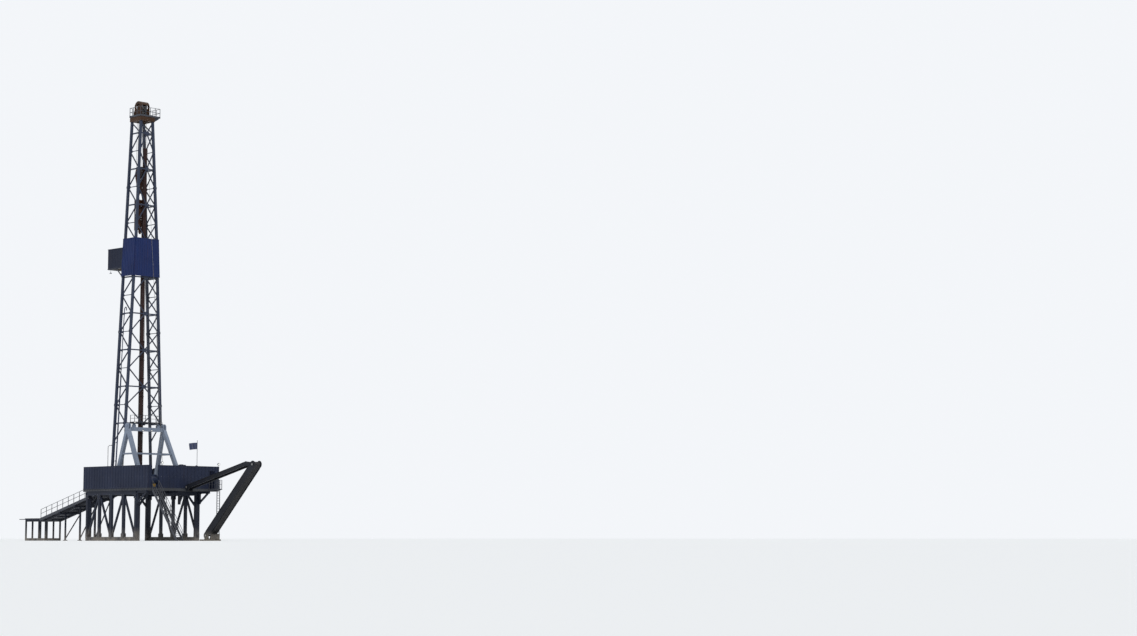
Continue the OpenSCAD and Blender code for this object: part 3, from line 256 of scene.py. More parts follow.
# material tools: a finish's node tree, with a short word for each node that the finishes share
class Finish:
    def __init__(self, name):
        self.mat = bpy.data.materials.new(name)
        self.mat.use_nodes = True
        self.tree = self.mat.node_tree
        self.tree.nodes.clear()
        self.skin = self.put("ShaderNodeBsdfPrincipled")
        self.put("ShaderNodeOutputMaterial", Surface=self.skin.outputs[0])
        self.coord = self.put("ShaderNodeTexCoord").outputs["Object"]

    def give(self, socket, value):
        if isinstance(value, bpy.types.NodeSocket):
            self.tree.links.new(value, socket)
        elif socket.type == "RGBA":
            socket.default_value = (*value, 1.0)
        else:
            socket.default_value = value

    def put(self, kind, settings=None, **inputs):
        node = self.tree.nodes.new(kind)
        for key, value in (settings or {}).items():
            setattr(node, key, value)
        for key, value in inputs.items():
            self.give(node.inputs[key.replace("_", " ")], value)
        return node

    def dress(self, **inputs):
        for key, value in inputs.items():
            self.give(self.skin.inputs[key.replace("_", " ")], value)
        return self.mat

    def maths(self, operation, a, b, clamp=False, kind="ShaderNodeMath", result=0):
        node = self.put(kind, dict(operation=operation))
        if clamp:
            node.use_clamp = True
        self.give(node.inputs[0], a)
        self.give(node.inputs[1], b)
        return node.outputs[result]

    def times(self, a, b, clamp=False):
        return self.maths("MULTIPLY", a, b, clamp)

    def plus(self, a, b):
        return self.maths("ADD", a, b)

    def minus(self, a, b, clamp=False):
        return self.maths("SUBTRACT", a, b, clamp)

    def ranged(self, value, low, high, outLow=0.0, outHigh=1.0):
        return self.put("ShaderNodeMapRange", Value=value, From_Min=low, From_Max=high,
                        To_Min=outLow, To_Max=outHigh).outputs[0]

    def mixed(self, factor, a, b):
        node = self.put("ShaderNodeMix", dict(data_type="RGBA"))
        for place, value in ((0, factor), (6, a), (7, b)):
            self.give(node.inputs[place], value)
        return node.outputs[2]

    def noise(self, scale, detail=3.0, rough=0.55, at=None):
        at = self.coord if at is None else at
        node = self.put("ShaderNodeTexNoise", Vector=at, Scale=scale, Detail=detail, Roughness=rough)
        return node.outputs["Fac"]

    def waves(self, direction, scale, at=None, **more):
        at = self.coord if at is None else at
        return self.put("ShaderNodeTexWave", dict(wave_type="BANDS", bands_direction=direction), Vector=at,
                        Scale=scale, **more).outputs["Fac"]

    def placed(self, **how):
        return self.put("ShaderNodeMapping", Vector=self.coord, **how).outputs[0]

    def bump(self, height, strength, distance, **more):
        self.dress(Normal=self.put("ShaderNodeBump", Height=height, Strength=strength, Distance=distance,
                                   **more).outputs[0])

    def rounded(self, radius):
        return self.put("ShaderNodeBevel", dict(samples=4), Radius=radius * mm).outputs[0]


def tinted(colour, share):
    return tuple(share * c for c in colour)


# Painted steel: uneven tone, rain streaks, dust on top faces, chipped and rubbed edges, rust, mud low down
def paintedSteel(name, colour, rubbed=(0.25, 0.25, 0.26), rust=(0.11, 0.04, 0.018),
                 dust=(0.34, 0.30, 0.25), tone=0.16, streaks=0.4, chips=0.5, dustiness=0.35, mud=0.0,
                 shine=0.42, pattern=None, edge=0.9, gleam=0.22):
    f = Finish(name)
    facing = f.put("ShaderNodeNewGeometry").outputs["Normal"]
    tones = f.plus(f.times(f.noise(4.5, 4.0), 0.7), f.times(f.noise(130.0, 3.0, 0.65), 0.3))
    shade = f.ranged(tones, 0.35, 0.68)
    base = f.mixed(shade, tinted(colour, 1 - tone), tinted(colour, 1 + tone))
    streak = f.times(f.ranged(f.noise(1.0, 4.0, at=f.placed(Scale=(55, 55, 3.2))), 0.52, 0.78),
                     f.ranged(f.noise(9.0), 0.35, 0.65, 0.2, streaks))
    base = f.mixed(streak, base, tuple(0.45 * c + 0.35 * r for c, r in zip(colour, rust)))
    soft = f.rounded(edge)
    bent = f.maths("DOT_PRODUCT", soft, facing, kind="ShaderNodeVectorMath", result="Value")
    corner = f.ranged(bent, 0.985, 0.90)
    wear = f.times(f.times(corner, f.ranged(f.noise(46.0, 5.0, 0.7), 0.42, 0.62)), chips, True)
    spots = f.times(f.ranged(f.noise(75.0, 6.0, 0.75), 0.66, 0.74), chips, True)
    base = f.mixed(wear, f.mixed(spots, base, rust), rubbed)
    upward = f.ranged(f.put("ShaderNodeSeparateXYZ", Vector=facing).outputs[2], 0.4, 0.95)
    lying = f.times(upward, f.ranged(f.noise(22.0, 5.0, 0.6), 0.3, 0.75, 0.25 * dustiness, dustiness), True)
    base = f.mixed(lying, base, dust)
    if mud:
        low = f.ranged(f.put("ShaderNodeSeparateXYZ", Vector=f.coord).outputs[2], mud, 0.0)
        splash = f.times(low, f.ranged(f.noise(16.0, 6.0, 0.7), 0.3, 0.62, 0.1, 0.85), True)
        base = f.mixed(splash, base, tinted(dust, 0.8))
    relief = f.minus(f.times(f.noise(420.0, 2.0), 0.35), f.plus(spots, f.times(wear, 0.5)))
    if pattern:
        relief = f.plus(relief, pattern(f))
    f.bump(relief, 0.35, 0.0006, Normal=soft)
    gloss = f.plus(f.ranged(shade, 0, 1, shine + 0.08, shine - 0.05), f.times(f.plus(lying, streak), 0.3))
    return f.dress(Base_Color=base, Roughness=gloss, Metallic=f.times(wear, 0.8), Specular_IOR_Level=gleam)


# raised lozenges: two crossed rows of waves, so that each crest stands alone
def chequer(f):
    crossed = f.waves("DIAGONAL", 55.0, f.placed(Rotation=(0, 0, math.pi / 2)))
    return f.times(f.ranged(f.times(f.waves("DIAGONAL", 55.0), crossed), 0.45, 0.7), 1.6)


# Bare or greased metal: brushed along its length, with grease and a little rust
def bareSteel(name, colour, rust=(0.12, 0.05, 0.02), grease=(0.02, 0.018, 0.015), shine=0.34, greasy=0.5,
              stretch=(8, 8, 90)):
    f = Finish(name)
    brushed = f.noise(12.0, 4.0, 0.7, f.placed(Scale=stretch))
    base = f.mixed(f.ranged(brushed, 0.3, 0.7), tinted(colour, 0.8), colour)
    base = f.mixed(f.ranged(f.noise(18.0, 5.0, 0.65), 0.45, 0.62, 0.0, greasy), base, grease)
    brown = f.ranged(f.noise(60.0, 6.0, 0.7), 0.6, 0.72, 0.0, 0.7)
    f.bump(f.plus(brushed, brown), 0.2, 0.0004, Normal=f.rounded(0.7))
    gloss = f.plus(f.ranged(brushed, 0.2, 0.8, shine - 0.08, shine + 0.12), f.times(brown, 0.35))
    return f.dress(Base_Color=f.mixed(brown, base, rust), Roughness=gloss,
                   Metallic=f.minus(0.95, f.times(brown, 0.9), True))


# Wire rope: strands run round it as slanting bands, with painted shade darkening the grooves between them,
# and dark grease in patches
def wireRope(name, colour, pitch):
    f = Finish(name)
    lay, dirt = f.waves("DIAGONAL", pitch, Distortion=0.4, Detail=1.0), f.noise(35.0, 4.0)
    # the lay bands fall to a quarter of the rope's colour between the strands: painted shade in the grooves
    base = f.mixed(f.ranged(dirt, 0.45, 0.7, 0.0, 0.6), f.mixed(lay, tinted(colour, 0.25), colour),
                   (0.03, 0.02, 0.012))
    f.bump(lay, 0.6, 0.0006)
    return f.dress(Base_Color=base, Roughness=f.ranged(dirt, 0.3, 0.7, 0.35, 0.6), Metallic=0.75)


def rubber(name, colour=(0.016, 0.016, 0.017)):
    f = Finish(name)
    dusty = f.ranged(f.noise(26.0, 5.0, 0.7), 0.4, 0.75, 0.0, 0.5)
    f.bump(f.noise(500.0), 0.25, 0.0004)
    return f.dress(Base_Color=f.mixed(dusty, colour, (0.09, 0.08, 0.07)),
                   Roughness=f.ranged(dusty, 0, 0.5, 0.5, 0.8))


# Hardwood mats: long grain along Y, dark oil and scuffs
def timber(name):
    f = Finish(name)
    rings = f.noise(1.0, 6.0, 0.7, f.placed(Scale=(160, 9, 160)))
    board = f.noise(1.0, 0.0, at=f.placed(Scale=(38, 0.5, 1)))
    base = f.mixed(f.ranged(rings, 0.3, 0.7), (0.10, 0.065, 0.04), (0.22, 0.155, 0.10))
    base = f.mixed(f.ranged(board, 0.3, 0.7, 0.0, 0.55), base, (0.13, 0.11, 0.09))
    base = f.mixed(f.ranged(f.noise(14.0, 5.0), 0.5, 0.75, 0.0, 0.8), base, (0.03, 0.025, 0.02))
    f.bump(rings, 0.5, 0.0008)
    return f.dress(Base_Color=base, Roughness=f.ranged(rings, 0.2, 0.8, 0.85, 0.6))


def dustyGlass(name, tint=(0.5, 0.58, 0.64)):
    f = Finish(name)
    film = f.ranged(f.noise(12.0, 6.0, 0.7), 0.35, 0.8, 0.06, 0.42)
    return f.dress(Base_Color=f.mixed(film, tint, (0.42, 0.40, 0.36)), Roughness=film,
                   Transmission_Weight=0.55, IOR=1.45)


def lampGlass(name):
    f = Finish(name)
    ribs = f.waves("X", 160.0)
    f.bump(ribs, 0.4, 0.0005)
    return f.dress(Base_Color=f.mixed(ribs, (0.78, 0.80, 0.80), (0.92, 0.93, 0.9)), Roughness=0.12,
                   Emission_Color=(1.0, 0.95, 0.82), Emission_Strength=0.35)


# Flag cloth: a plain weave on the cloth's own UV map, faded in bands, with painted shade darkening the gaps
# between the threads
def flagCloth(name, colour):
    f = Finish(name)
    f.coord = f.put("ShaderNodeTexCoord").outputs["UV"]
    weave = f.times(f.waves("X", 48.0), f.waves("Y", 30.0))
    base = f.mixed(f.ranged(f.noise(5.0, 4.0), 0.35, 0.7), tinted(colour, 0.75), tinted(colour, 1.25))
    f.bump(weave, 0.35, 0.0004)
    # low in the weave the cloth is mixed a quarter of the way to near-black: painted shade between the
    # threads
    return f.dress(Base_Color=f.mixed(f.ranged(weave, 0.0, 1.0, 0.25, 0.0), base, (0.02, 0.02, 0.03)),
                   Roughness=0.85, Sheen_Weight=0.3)


finishes = {
    "mast_paint": paintedSteel("mastPaint", (0.031, 0.041, 0.071), shine=0.36, tone=0.14, chips=0.55),
    # the A-frames take a lighter copy of the mast's slate blue: painted sky light on the mast's paint
    "a_frame_paint": paintedSteel("aFramePaintSkyLit", (0.20, 0.24, 0.315), shine=0.34, tone=0.12, chips=0.6),
    "substructure_paint": paintedSteel("substructurePaint", (0.015, 0.020, 0.036), mud=0.16, chips=0.7),
    "windwall_paint": paintedSteel("windwallPaint", (0.013, 0.019, 0.044), rust=(0.055, 0.028, 0.018),
                                   streaks=0.6, tone=0.2, shine=0.48),
    "doghouse_paint": paintedSteel("doghousePaint", (0.023, 0.031, 0.058), streaks=0.5, shine=0.45),
    "cladding_paint": paintedSteel("claddingPaint", (0.009, 0.021, 0.092), streaks=0.55, shine=0.44,
                                   tone=0.18),
    "racking_paint": paintedSteel("rackingPaint", (0.013, 0.018, 0.038), rust=(0.05, 0.026, 0.018),
                                  streaks=0.6, shine=0.5),
    "deck_plate": paintedSteel("deckPlate", (0.05, 0.053, 0.06), pattern=chequer, dustiness=0.55,
                               chips=0.8, shine=0.5),
    "walkway_steel": paintedSteel("walkwaySteel", (0.055, 0.06, 0.075), chips=0.7, dustiness=0.4),
    "machine_paint": paintedSteel("machinePaint", (0.032, 0.048, 0.10), shine=0.32, chips=0.5),
    "crown_paint": paintedSteel("crownPaint", (0.048, 0.021, 0.009), streaks=0.6, chips=0.8, tone=0.25,
                                shine=0.45),
    "hoist_paint": paintedSteel("hoistPaint", (0.055, 0.020, 0.009), streaks=0.5, chips=0.7, tone=0.2,
                                shine=0.36),
    "guide_paint": paintedSteel("guidePaint", (0.028, 0.012, 0.011), streaks=0.4, chips=0.7, shine=0.42),
    "boom_paint": paintedSteel("boomPaint", (0.013, 0.015, 0.021), chips=0.6, mud=0.12),
    "bare_steel": bareSteel("bareSteel", (0.42, 0.42, 0.43)),
    "wire_rope": wireRope("wireRope", (0.34, 0.33, 0.32), 260.0),
    "window_glass": dustyGlass("windowGlass"),
    "flag_cloth": flagCloth("flagWeave", (0.03, 0.045, 0.11)),
}
hoseRubber = rubber("hoseRubber")
cableRubber = rubber("cableRubber", (0.02, 0.021, 0.026))
matTimber = timber("matTimber")
lensGlass = lampGlass("lensGlass")
boltSteel = bareSteel("boltSteel", (0.36, 0.35, 0.34), greasy=0.3, stretch=(30, 30, 30))
railYellow = paintedSteel("railYellow", (0.42, 0.25, 0.03), chips=0.8, dustiness=0.2)
print("materials made")

# every CAD node takes the finish of its slot in the record
slotOf = {entry.get("node"): entry.get("material_slot") for entry in frame["record"].get("subparts", [])}
for name, piece in frame["nodes"].items():
    own = piece.data.materials[0].name.split(".")[0] if piece.data.materials else ""
    chosen = slotOf.get(name) or own
    if chosen not in finishes:
        print("no finish for", name, chosen)
        continue
    piece.data.materials.clear()
    piece.data.materials.append(finishes[chosen])

# camera, light and floor
shot = dict(place=(-15.6637, -21.6696, 0.0283), yaw=46.639, pitch=5.541, lens=71.90, sensor=36,
            farthest=300)
camera = bpy.data.objects.new("camera", bpy.data.cameras.new("camera"))
scene.collection.objects.link(camera)
yaw, pitch = math.radians(shot["yaw"]), math.radians(shot["pitch"])
ahead = Vector((math.sin(yaw) * math.cos(pitch), math.cos(yaw) * math.cos(pitch), math.sin(pitch)))
rightward = Vector((math.cos(yaw), -math.sin(yaw), 0))
turn = Matrix((rightward, rightward.cross(ahead), -ahead)).transposed().to_4x4()
camera.matrix_world = Matrix.Translation(shot["place"]) @ turn
camera.data.lens = shot["lens"]
camera.data.sensor_width = shot["sensor"]
camera.data.clip_end = shot["farthest"]
scene.camera = camera
scene.view_settings.view_transform = "Standard"

light = dict(sunStrength=1.55, sunSpread=18, sunColour=(1.0, 0.97, 0.93), sunWay=(0.62, 0.60, -0.85),
             skyStrength=0.62, sky=(0.90, 0.95, 1.0), backdrop=(0.90, 0.92, 0.95),
             floor=(0.94, 0.945, 0.95), reach=120)
sun = bpy.data.objects.new("keyLight", bpy.data.lights.new("keyLight", "SUN"))
scene.collection.objects.link(sun)
sun.data.energy = light["sunStrength"]
sun.data.angle = math.radians(light["sunSpread"])
sun.data.color = light["sunColour"]
sun.rotation_euler = Vector(light["sunWay"]).to_track_quat("-Z", "Y").to_euler()

# the world lights the rig with the sky, and shows the pale backdrop to the camera and through glass
world = bpy.data.worlds.new("studio")
scene.world = world
world.use_nodes = True
sky = world.node_tree
sky.nodes.clear()
lit, seen = sky.nodes.new("ShaderNodeBackground"), sky.nodes.new("ShaderNodeBackground")
for node, colour, strength in ((lit, light["sky"], light["skyStrength"]), (seen, light["backdrop"], 1.0)):
    node.inputs[0].default_value = (*colour, 1)
    node.inputs[1].default_value = strength
rays = sky.nodes.new("ShaderNodeLightPath")
either = sky.nodes.new("ShaderNodeMath")
either.operation = "MAXIMUM"
skyMix = sky.nodes.new("ShaderNodeMixShader")
skyOut = sky.nodes.new("ShaderNodeOutputWorld")
for a, b in ((rays.outputs["Is Camera Ray"], either.inputs[0]),
             (rays.outputs["Is Transmission Ray"], either.inputs[1]),
             (either.outputs[0], skyMix.inputs[0]), (lit.outputs[0], skyMix.inputs[1]),
             (seen.outputs[0], skyMix.inputs[2]), (skyMix.outputs[0], skyOut.inputs[0])):
    sky.links.new(a, b)

floorMesh = bpy.data.meshes.new("floor")
floorCorners = [(x, y, 0) for x, y in rectangle(2 * light["reach"], 2 * light["reach"])]
floorMesh.from_pydata(floorCorners, [], [(0, 1, 2, 3)])
paleFloor = Finish("paleFloor").dress(Base_Color=light["floor"], Roughness=0.9, Specular_IOR_Level=0.1)
floorMesh.materials.append(paleFloor)
floor = bpy.data.objects.new("floor", floorMesh)
scene.collection.objects.link(floor)
print("camera, light and floor made")

# drilling lines: they shorten as the block rises, and here they are straight ropes between the block's and
# the crown's axles, on no body
lines = dict(steps=60, strands=10, seat=0.3)
lineX = (np.arange(rig["sheaveCount"]) - (rig["sheaveCount"] - 1) / 2) * rig["sheavePitch"]
lineY = rig["sheaveR"] + rig["line"] / 2 + lines["seat"]
lineZ = np.linspace(rig["blockAxle"], rig["crownAxle"], lines["steps"])
fastX = lineX[rig["sheaveCount"] // 2]  # the fast line takes this sheave's rear side
lineShapes = [tube(xyz(x, side * lineY, lineZ), rig["line"] / 2, lines["strands"])
              for x in lineX for side in sides if side > 0 or x != fastX]
drillingLines = makePiece("drillingLinesRope", lineShapes, "wire_rope", body=None)
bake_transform(drillingLines)
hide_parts("drilling_lines")
print("drilling lines made")

# mast: gussets where the braces meet the legs, spliced legs, ladder, pipes and cables
mast = dict(gusset=34, thick=3, boltR=1.6, backPlane=-8.5, backThick=2.5, splices=(1557, 2405, 3465, 4101),
            spliceHalf=13, spliceThick=3, spliceBolt=2.4)
gussets, mastBolts = [], []


# plate on a leg's inner edge whose point lies along the brace
def sideGusset(side, y, fore, z, tip):
    g, thick = mast["gusset"], mast["thick"]
    loop = onSide(side, [y, y + fore * g, y + fore * g, y], [z - g, z - tip, z + tip, z + g], -thick / 2)
    gussets.append(plate(loop, (thick * side, 0, 0)))


for side in sides:
    for z in girtZ:
        y = float(backY(z)) + legHalf - 1
        sideGusset(side, y, 1, z, 9)
        spots = onSide(side, [y + 7, y + 7, y + 16, y + 24], [z - 20, z + 20, z, z], 8)
        mastBolts.append(bolts(spots, (side, 0, 0), mast["boltR"], 1))
    for z in midZ:
        sideGusset(side, rig["mastFront"] - legHalf + 1, -1, z, 7)
# plates at the middle of each back girt, where four diagonals meet
octagon = np.array([[-34, -8], [-16, -22], [16, -22], [34, -8], [34, 8], [16, 22], [-16, 22], [-34, 8]])
plateSpots = pairs((-22, -8, 8, 22), (-6, 6))
for z in girtZ:
    y = float(backY(z)) + mast["backPlane"]
    gussets.append(plate(xyz(octagon[:, 0], y, z + octagon[:, 1]), (0, mast["backThick"], 0)))
    mastBolts.append(bolts(xyz(plateSpots[0], y, z + plateSpots[1]), (0, -1, 0), 1.7, 1.2))
# sleeves where a leg's lengths are joined
spliceSpots = pairs((-9, 9), (-8, 8))
for side in sides:
    for z in mast["splices"]:
        y, w, h = float(backY(z)), legHalf + mast["spliceThick"], mast["spliceHalf"]
        gussets.append(bars(onSide(side, y, z - h), onSide(side, y, z + h), 2 * w, 2 * w))
        for yy, fore in ((rig["mastFront"], 1), (y, -1)):
            middle = onSide(side, yy, z)
            outer = xyz(side * (w + 0.2), *spliceSpots)
            rear = xyz(spliceSpots[0], fore * (w + 0.2), spliceSpots[1])
            mastBolts.append(bolts(middle + outer, (side, 0, 0), mast["spliceBolt"]))
            mastBolts.append(bolts(middle + rear, (0, fore, 0), mast["spliceBolt"]))
makePiece("mastGussets", gussets, "mast_paint")
makePiece("mastBolts", mastBolts, "bare_steel", boltSteel)

ladder = dict(width=30, gap=30, rung=1.6, stile=3.2, inside=-23, low=deckZ + 22, high=rig["crownUnder"] - 14,
              y=rig["mastFront"] - 22, holdGap=212.0, hold=3)
stiles = (ladder["y"], ladder["y"] - ladder["width"])
low, high, inside = ladder["low"], ladder["high"], ladder["inside"]
ladderShapes = [bars(onSide(1, y, low, inside), onSide(1, y, high, inside), ladder["stile"], ladder["stile"])
                for y in stiles]
rungs = np.arange(low + 12, high, ladder["gap"])
ladderShapes.append(rods(*(onSide(1, y, rungs, inside) for y in stiles), ladder["rung"], 6))
holds = np.arange(low + 60, high, ladder["holdGap"])
for y in stiles:
    ladderShapes.append(bars(onSide(1, y, holds, inside), onSide(1, rig["mastFront"] - 10, holds, -8),
                             ladder["hold"], ladder["hold"], alongZ))
makePiece("mastLadder", ladderShapes, "walkway_steel")

riser = dict(y=rig["mastFront"] - 28, inside=-24, radius=5, top=2640, low=deckZ + 4,
             thinY=rig["mastFront"] - 44, thinR=3.2, thinTop=1900, clampLow=700, clampGap=212)
main = onSide(-1, riser["y"], np.linspace(riser["low"], riser["top"], 30), riser["inside"])
bend = np.array([[0, 0, 0], [6, 2, 40], [22, 6, 58], [34, 8, 44], [36, 8, 18]])
gooseneck = curveThrough(main[-1] + bend, 8)
clamp = [[5, -7], [8, -7], [8, -2], [6.4, -2], [6.4, 2], [8, 2], [8, 7], [5, 7]]
thinPipe = onSide(-1, riser["thinY"], np.linspace(riser["low"], riser["thinTop"], 20), -22)
pipes = [tube(np.concatenate([main[:-1], gooseneck]), riser["radius"], 14, alongY),
         tube(thinPipe, riser["thinR"], 12, alongY)]
for z in np.arange(riser["clampLow"], riser["top"], riser["clampGap"]):
    middle = onSide(-1, riser["y"], z, riser["inside"])
    pipes.append(turned(clamp, middle, n=14))
    pipes.append(bars(middle, onSide(-1, rig["mastFront"] - 8, z, -8), 6, 4, alongZ))
makePiece("standpipe", pipes, "machine_paint")

# each cable: its way in from the rear leg, its way out of the side's plane, its top and its radius
cableRuns = ((20, -19, 4700, 2.2), (26, -20, 4360, 1.9), (32, -19, 3100, 2.2), (38, -21, 3000, 1.9))
cables = []
for inward, out, top, radius in cableRuns:
    zs = np.linspace(deckZ + 2, top, 40)
    cables.append(tube(onSide(-1, backY(zs) + inward, zs, out), radius, 8, alongY))
makePiece("mastCables", cables, "wire_rope", cableRubber)
trays = []
for z in np.arange(girtZ[0] - 400, 3000, 106.0):
    start, end = (onSide(-1, float(backY(z)) + inward, z, -16) for inward in (10, 44))
    trays.append(bars(start, end, 4, 5, alongZ))
makePiece("cableTray", trays, "walkway_steel")
print("mast details made")

# A-frames: bolted feet, stiffeners on the legs, pin caps and the splice plates of the beam
aFrame = dict(frontFoot=10, rearFoot=-540, pinY=-185, pinZ=1312, thick=38, width=44, cap=23, cuffHalf=2,
              cuffOver=3, cuffs=(0.16, 0.38, 0.62, 0.84), beamY=-212, beamLow=1249, beamHigh=1299,
              spliceLong=30)
frameTrim, frameBolts = [], []
footSpots = pairs((-26, 26), (-36, -12, 12, 36))
for side in sides:
    for out in sides:
        cap = onSide(side, aFrame["pinY"], aFrame["pinZ"]) + np.array([out * aFrame["cap"], 0, 0])
        frameTrim.append(turned([[17, 0], [17, 2.5], [15, 4], [6, 4], [5, 6], [1, 6]], cap, (out, 0, 0), 24))
    for y in (aFrame["frontFoot"], aFrame["rearFoot"]):
        foot = onSide(side, y, deckZ + 12)
        frameTrim.append(boxes(foot + (-30, -42, -11), foot + (30, 42, -7)))
        frameBolts.append(bolts(foot + xyz(*footSpots, -7), alongZ, 2.6, 3))
        rise = np.array([aFrame["pinY"] - y, aFrame["pinZ"] - deckZ - 42.0])
        for t in aFrame["cuffs"]:
            middle, step = np.array([y, deckZ + 16]) + rise * t, unit(rise) * aFrame["cuffHalf"]
            frameTrim.append(bars(onSide(side, *(middle - step)), onSide(side, *(middle + step)),
                                  aFrame["thick"] + aFrame["cuffOver"], aFrame["width"] + aFrame["cuffOver"]))
beamX, beamY = float(halfWidth(aFrame["pinZ"])) - 28, aFrame["beamY"]
beamSpots = pairs((7, 22), (1258, 1274, 1290))
for side in sides:
    x = side * beamX
    end = [x - side * aFrame["spliceLong"], beamY + 3, aFrame["beamHigh"]]
    frameTrim.append(boxes([x, beamY, aFrame["beamLow"]], end))
    frameBolts.append(bolts(xyz(x - side * beamSpots[0], beamY, beamSpots[1]), (0, -1, 0), 2.4, 2))
makePiece("aFrameTrim", frameTrim, "a_frame_paint", bevel=0.4)
makePiece("aFrameBolts", frameBolts, "bare_steel", boltSteel)


# gratings: thin bars lie across a walkway, and a few flat ones along it
def grating(x0, x1, y0, y1, z, pitch=7.0, width=1.5, height=1.3):
    ys = np.arange(y0 + pitch / 2, y1, pitch)
    xs = np.linspace(x0 + 1, x1 - 1, max(2, int((x1 - x0) / 26) + 1))
    return [boxes(xyz(x0, ys - width / 2, z), xyz(x1, ys + width / 2, z + height)),
            boxes(xyz(xs - 0.7, y0, z), xyz(xs + 0.7, y1, z + height * 0.8))]


# crown: grating, toe boards, flanges and bolts round the sheave guard
crown = dict(floor=4940, left=-106, right=176, front=97, rear=-119, well=-72, guardX=57, guardR=68, toe=12,
             hang=-7, board=1.2, gap=64, beamX=101, beamRear=-117, beamFront=95, boltRows=(4892, 4920),
             flanges=(4881.5, 4929))
c0, axle = crown["floor"], rig["crownAxle"]
low, high = c0 + crown["hang"], c0 + crown["toe"]
left, right, front, rear = crown["left"], crown["right"], crown["front"], crown["rear"]
well, gap, thin = crown["well"], crown["gap"], crown["board"]
crownFloor = []
for x0, x1, y0, y1 in ((left, -61, well, front), (61, right, well, front), (left, right, rear, well)):
    crownFloor += grating(x0, x1, y0, y1, c0)
for x0, x1, y0, y1 in ((left - thin, left, rear, front), (right, right + thin, rear, front),
                       (left, right, rear - thin, rear), (left, -gap, front, front + thin),
                       (gap, right, front, front + thin)):
    crownFloor.append(boxes([x0, y0, low], [x1, y1, high]))
makePiece("crownGrating", crownFloor, "walkway_steel")
arc = np.radians(np.linspace(-15, 182, 50))
crownTrim, crownBolts = [], []


# points on the guard's cheek, on the arc or a part of it
def onGuard(x, inset, angles):
    r = crown["guardR"] - inset
    return xyz(x, r * np.cos(angles), axle + r * np.sin(angles))


for side in sides:
    x = side * crown["guardX"]
    crownTrim.append(sweep(onGuard(x, 3, arc), rectangle(3.2, 5.2)))
    crownBolts.append(bolts(onGuard(x, 11, arc[3:-3:4]), (side, 0, 0), 2, 1.8))
    bearing = [[22, 0], [22, 3], [18, 6], [10, 6], [9, 9], [1, 9]]
    crownTrim.append(turned(bearing, (side * 50.2, 0, axle), (side, 0, 0), 30))
    crownBolts.append(bolts(roundSpots(8, 18.5, (side * 53.2, 0, axle), True), (side, 0, 0), 1.8, 2))
    beamSpots = xyz(side * crown["beamX"], *pairs(np.linspace(-100, 78, 6), crown["boltRows"]))
    crownBolts.append(bolts(beamSpots, (side, 0, 0), 2.2, 2))
acrossSpots = pairs(np.linspace(-86, 86, 7), crown["boltRows"])
for y, fore in ((crown["beamRear"], -1), (crown["beamFront"], 1)):
    crownBolts.append(bolts(xyz(acrossSpots[0], y, acrossSpots[1]), (0, fore, 0), 2.2, 2))
    for z in crown["flanges"]:
        crownTrim.append(boxes([-crown["beamX"], y, z], [crown["beamX"], y + fore * 3, z + 3]))
# webs that slope from the guard to the platform's front edge
web = np.array([[55, 0.5], [94, 0.5], [94, 8], [62, 92], [55, 92]])
for x in (-60, 57):
    crownTrim.append(plate(xyz(x, web[:, 0], c0 + web[:, 1]), (3, 0, 0)))
makePiece("crownTrim", crownTrim, "crown_paint", bevel=0.4)
makePiece("crownBolts", crownBolts, "bare_steel", boltSteel)
hubs = [turned([[21, 0], [21, 1.4], [17, 2], [15, 2]], (x + fore * 5.6, 0, axle), (fore, 0, 0), 32)
        for x in lineX for fore in sides]
makePiece("crownSheaveHubs", hubs, "bare_steel")

# racking board: gratings, ribbed walls, latches on the fingers, and a lamp on a hanger under its front
board = dict(half=float(halfWidth(rig["boardTop"])) + legHalf, back=91, front=373, monkey=34, wall=228,
             rib=2.2, sideRib=(174, 176), ribHalf=3, ribGap=31, rail=7, railOut=3.2, fingers=8,
             fingerGap=24)
top, half, back, front = rig["boardTop"], board["half"], board["back"], board["front"]
makePiece("boardGrating", grating(-board["monkey"], board["monkey"], back + 30, front - 6, top)
          + grating(-half + 6, half - 6, front - 42, front - 6, top + 0.1), "walkway_steel")
low, high, r = top + 1, top + board["wall"], board["ribHalf"]
ys, xs = np.arange(back + 10, front - 4, board["ribGap"]), np.arange(-half + 14, half, board["ribGap"])
ribs = [boxes(xyz(xs - r, front, low), xyz(xs + r, front + board["rib"], high - 2))]
for side in sides:
    inner, outer = (side * x for x in board["sideRib"])
    ribs.append(boxes(xyz(inner, ys - r, low), xyz(outer, ys + r, high - 2)))
for z in (low - 12, high - 7):
    for side in sides:
        outer = [side * (half + board["railOut"]), front, z + board["rail"]]
        ribs.append(boxes([side * half, back, z], outer))
    ribs.append(boxes([-half - 3, front, z], [half + 3, front + board["railOut"], z + board["rail"]]))
makePiece("boardRibs", ribs, "racking_paint", bevel=0.3)
latches = []
for side in sides:
    x = side * (board["monkey"] + 22)
    for y in back + board["fingerGap"] * np.arange(1, board["fingers"] + 1):
        latches.append(boxes([x, y - 1, top - 13], [x - side * 9, y + 9, top - 1]))
        latches.append(rods([x - side * 4, y + 4, top - 2], [x - side * 4, y + 4, top + 3], 2.4, 8))
makePiece("fingerLatches", latches, "crown_paint", railYellow, bevel=0.3)
print("crown and racking board made")
hang = np.array([-148, 352, 3112])  # the lamp's middle
hood = [[2, 12], [6, 11], [9, 6], [14, 0], [13, -1.5], [11.5, 0], [8, 4], [2, 6]]
hanger = [rods(hang + (0, 0, 41), hang + (0, 0, 12), 1.5, 8), boxes(hang + (-9, -5, 39), hang + (9, 5, 41)),
          turned(hood, hang, n=26, closed=True)]
makePiece("boardLamp", hanger, "machine_paint")
bulb = turned([[0.5, -5], [4, -4], [6, 0], [5.5, 3], [2, 5.5]], hang, n=20)
makePiece("boardLampBulb", [bulb], "window_glass", lensGlass, smooth=80)

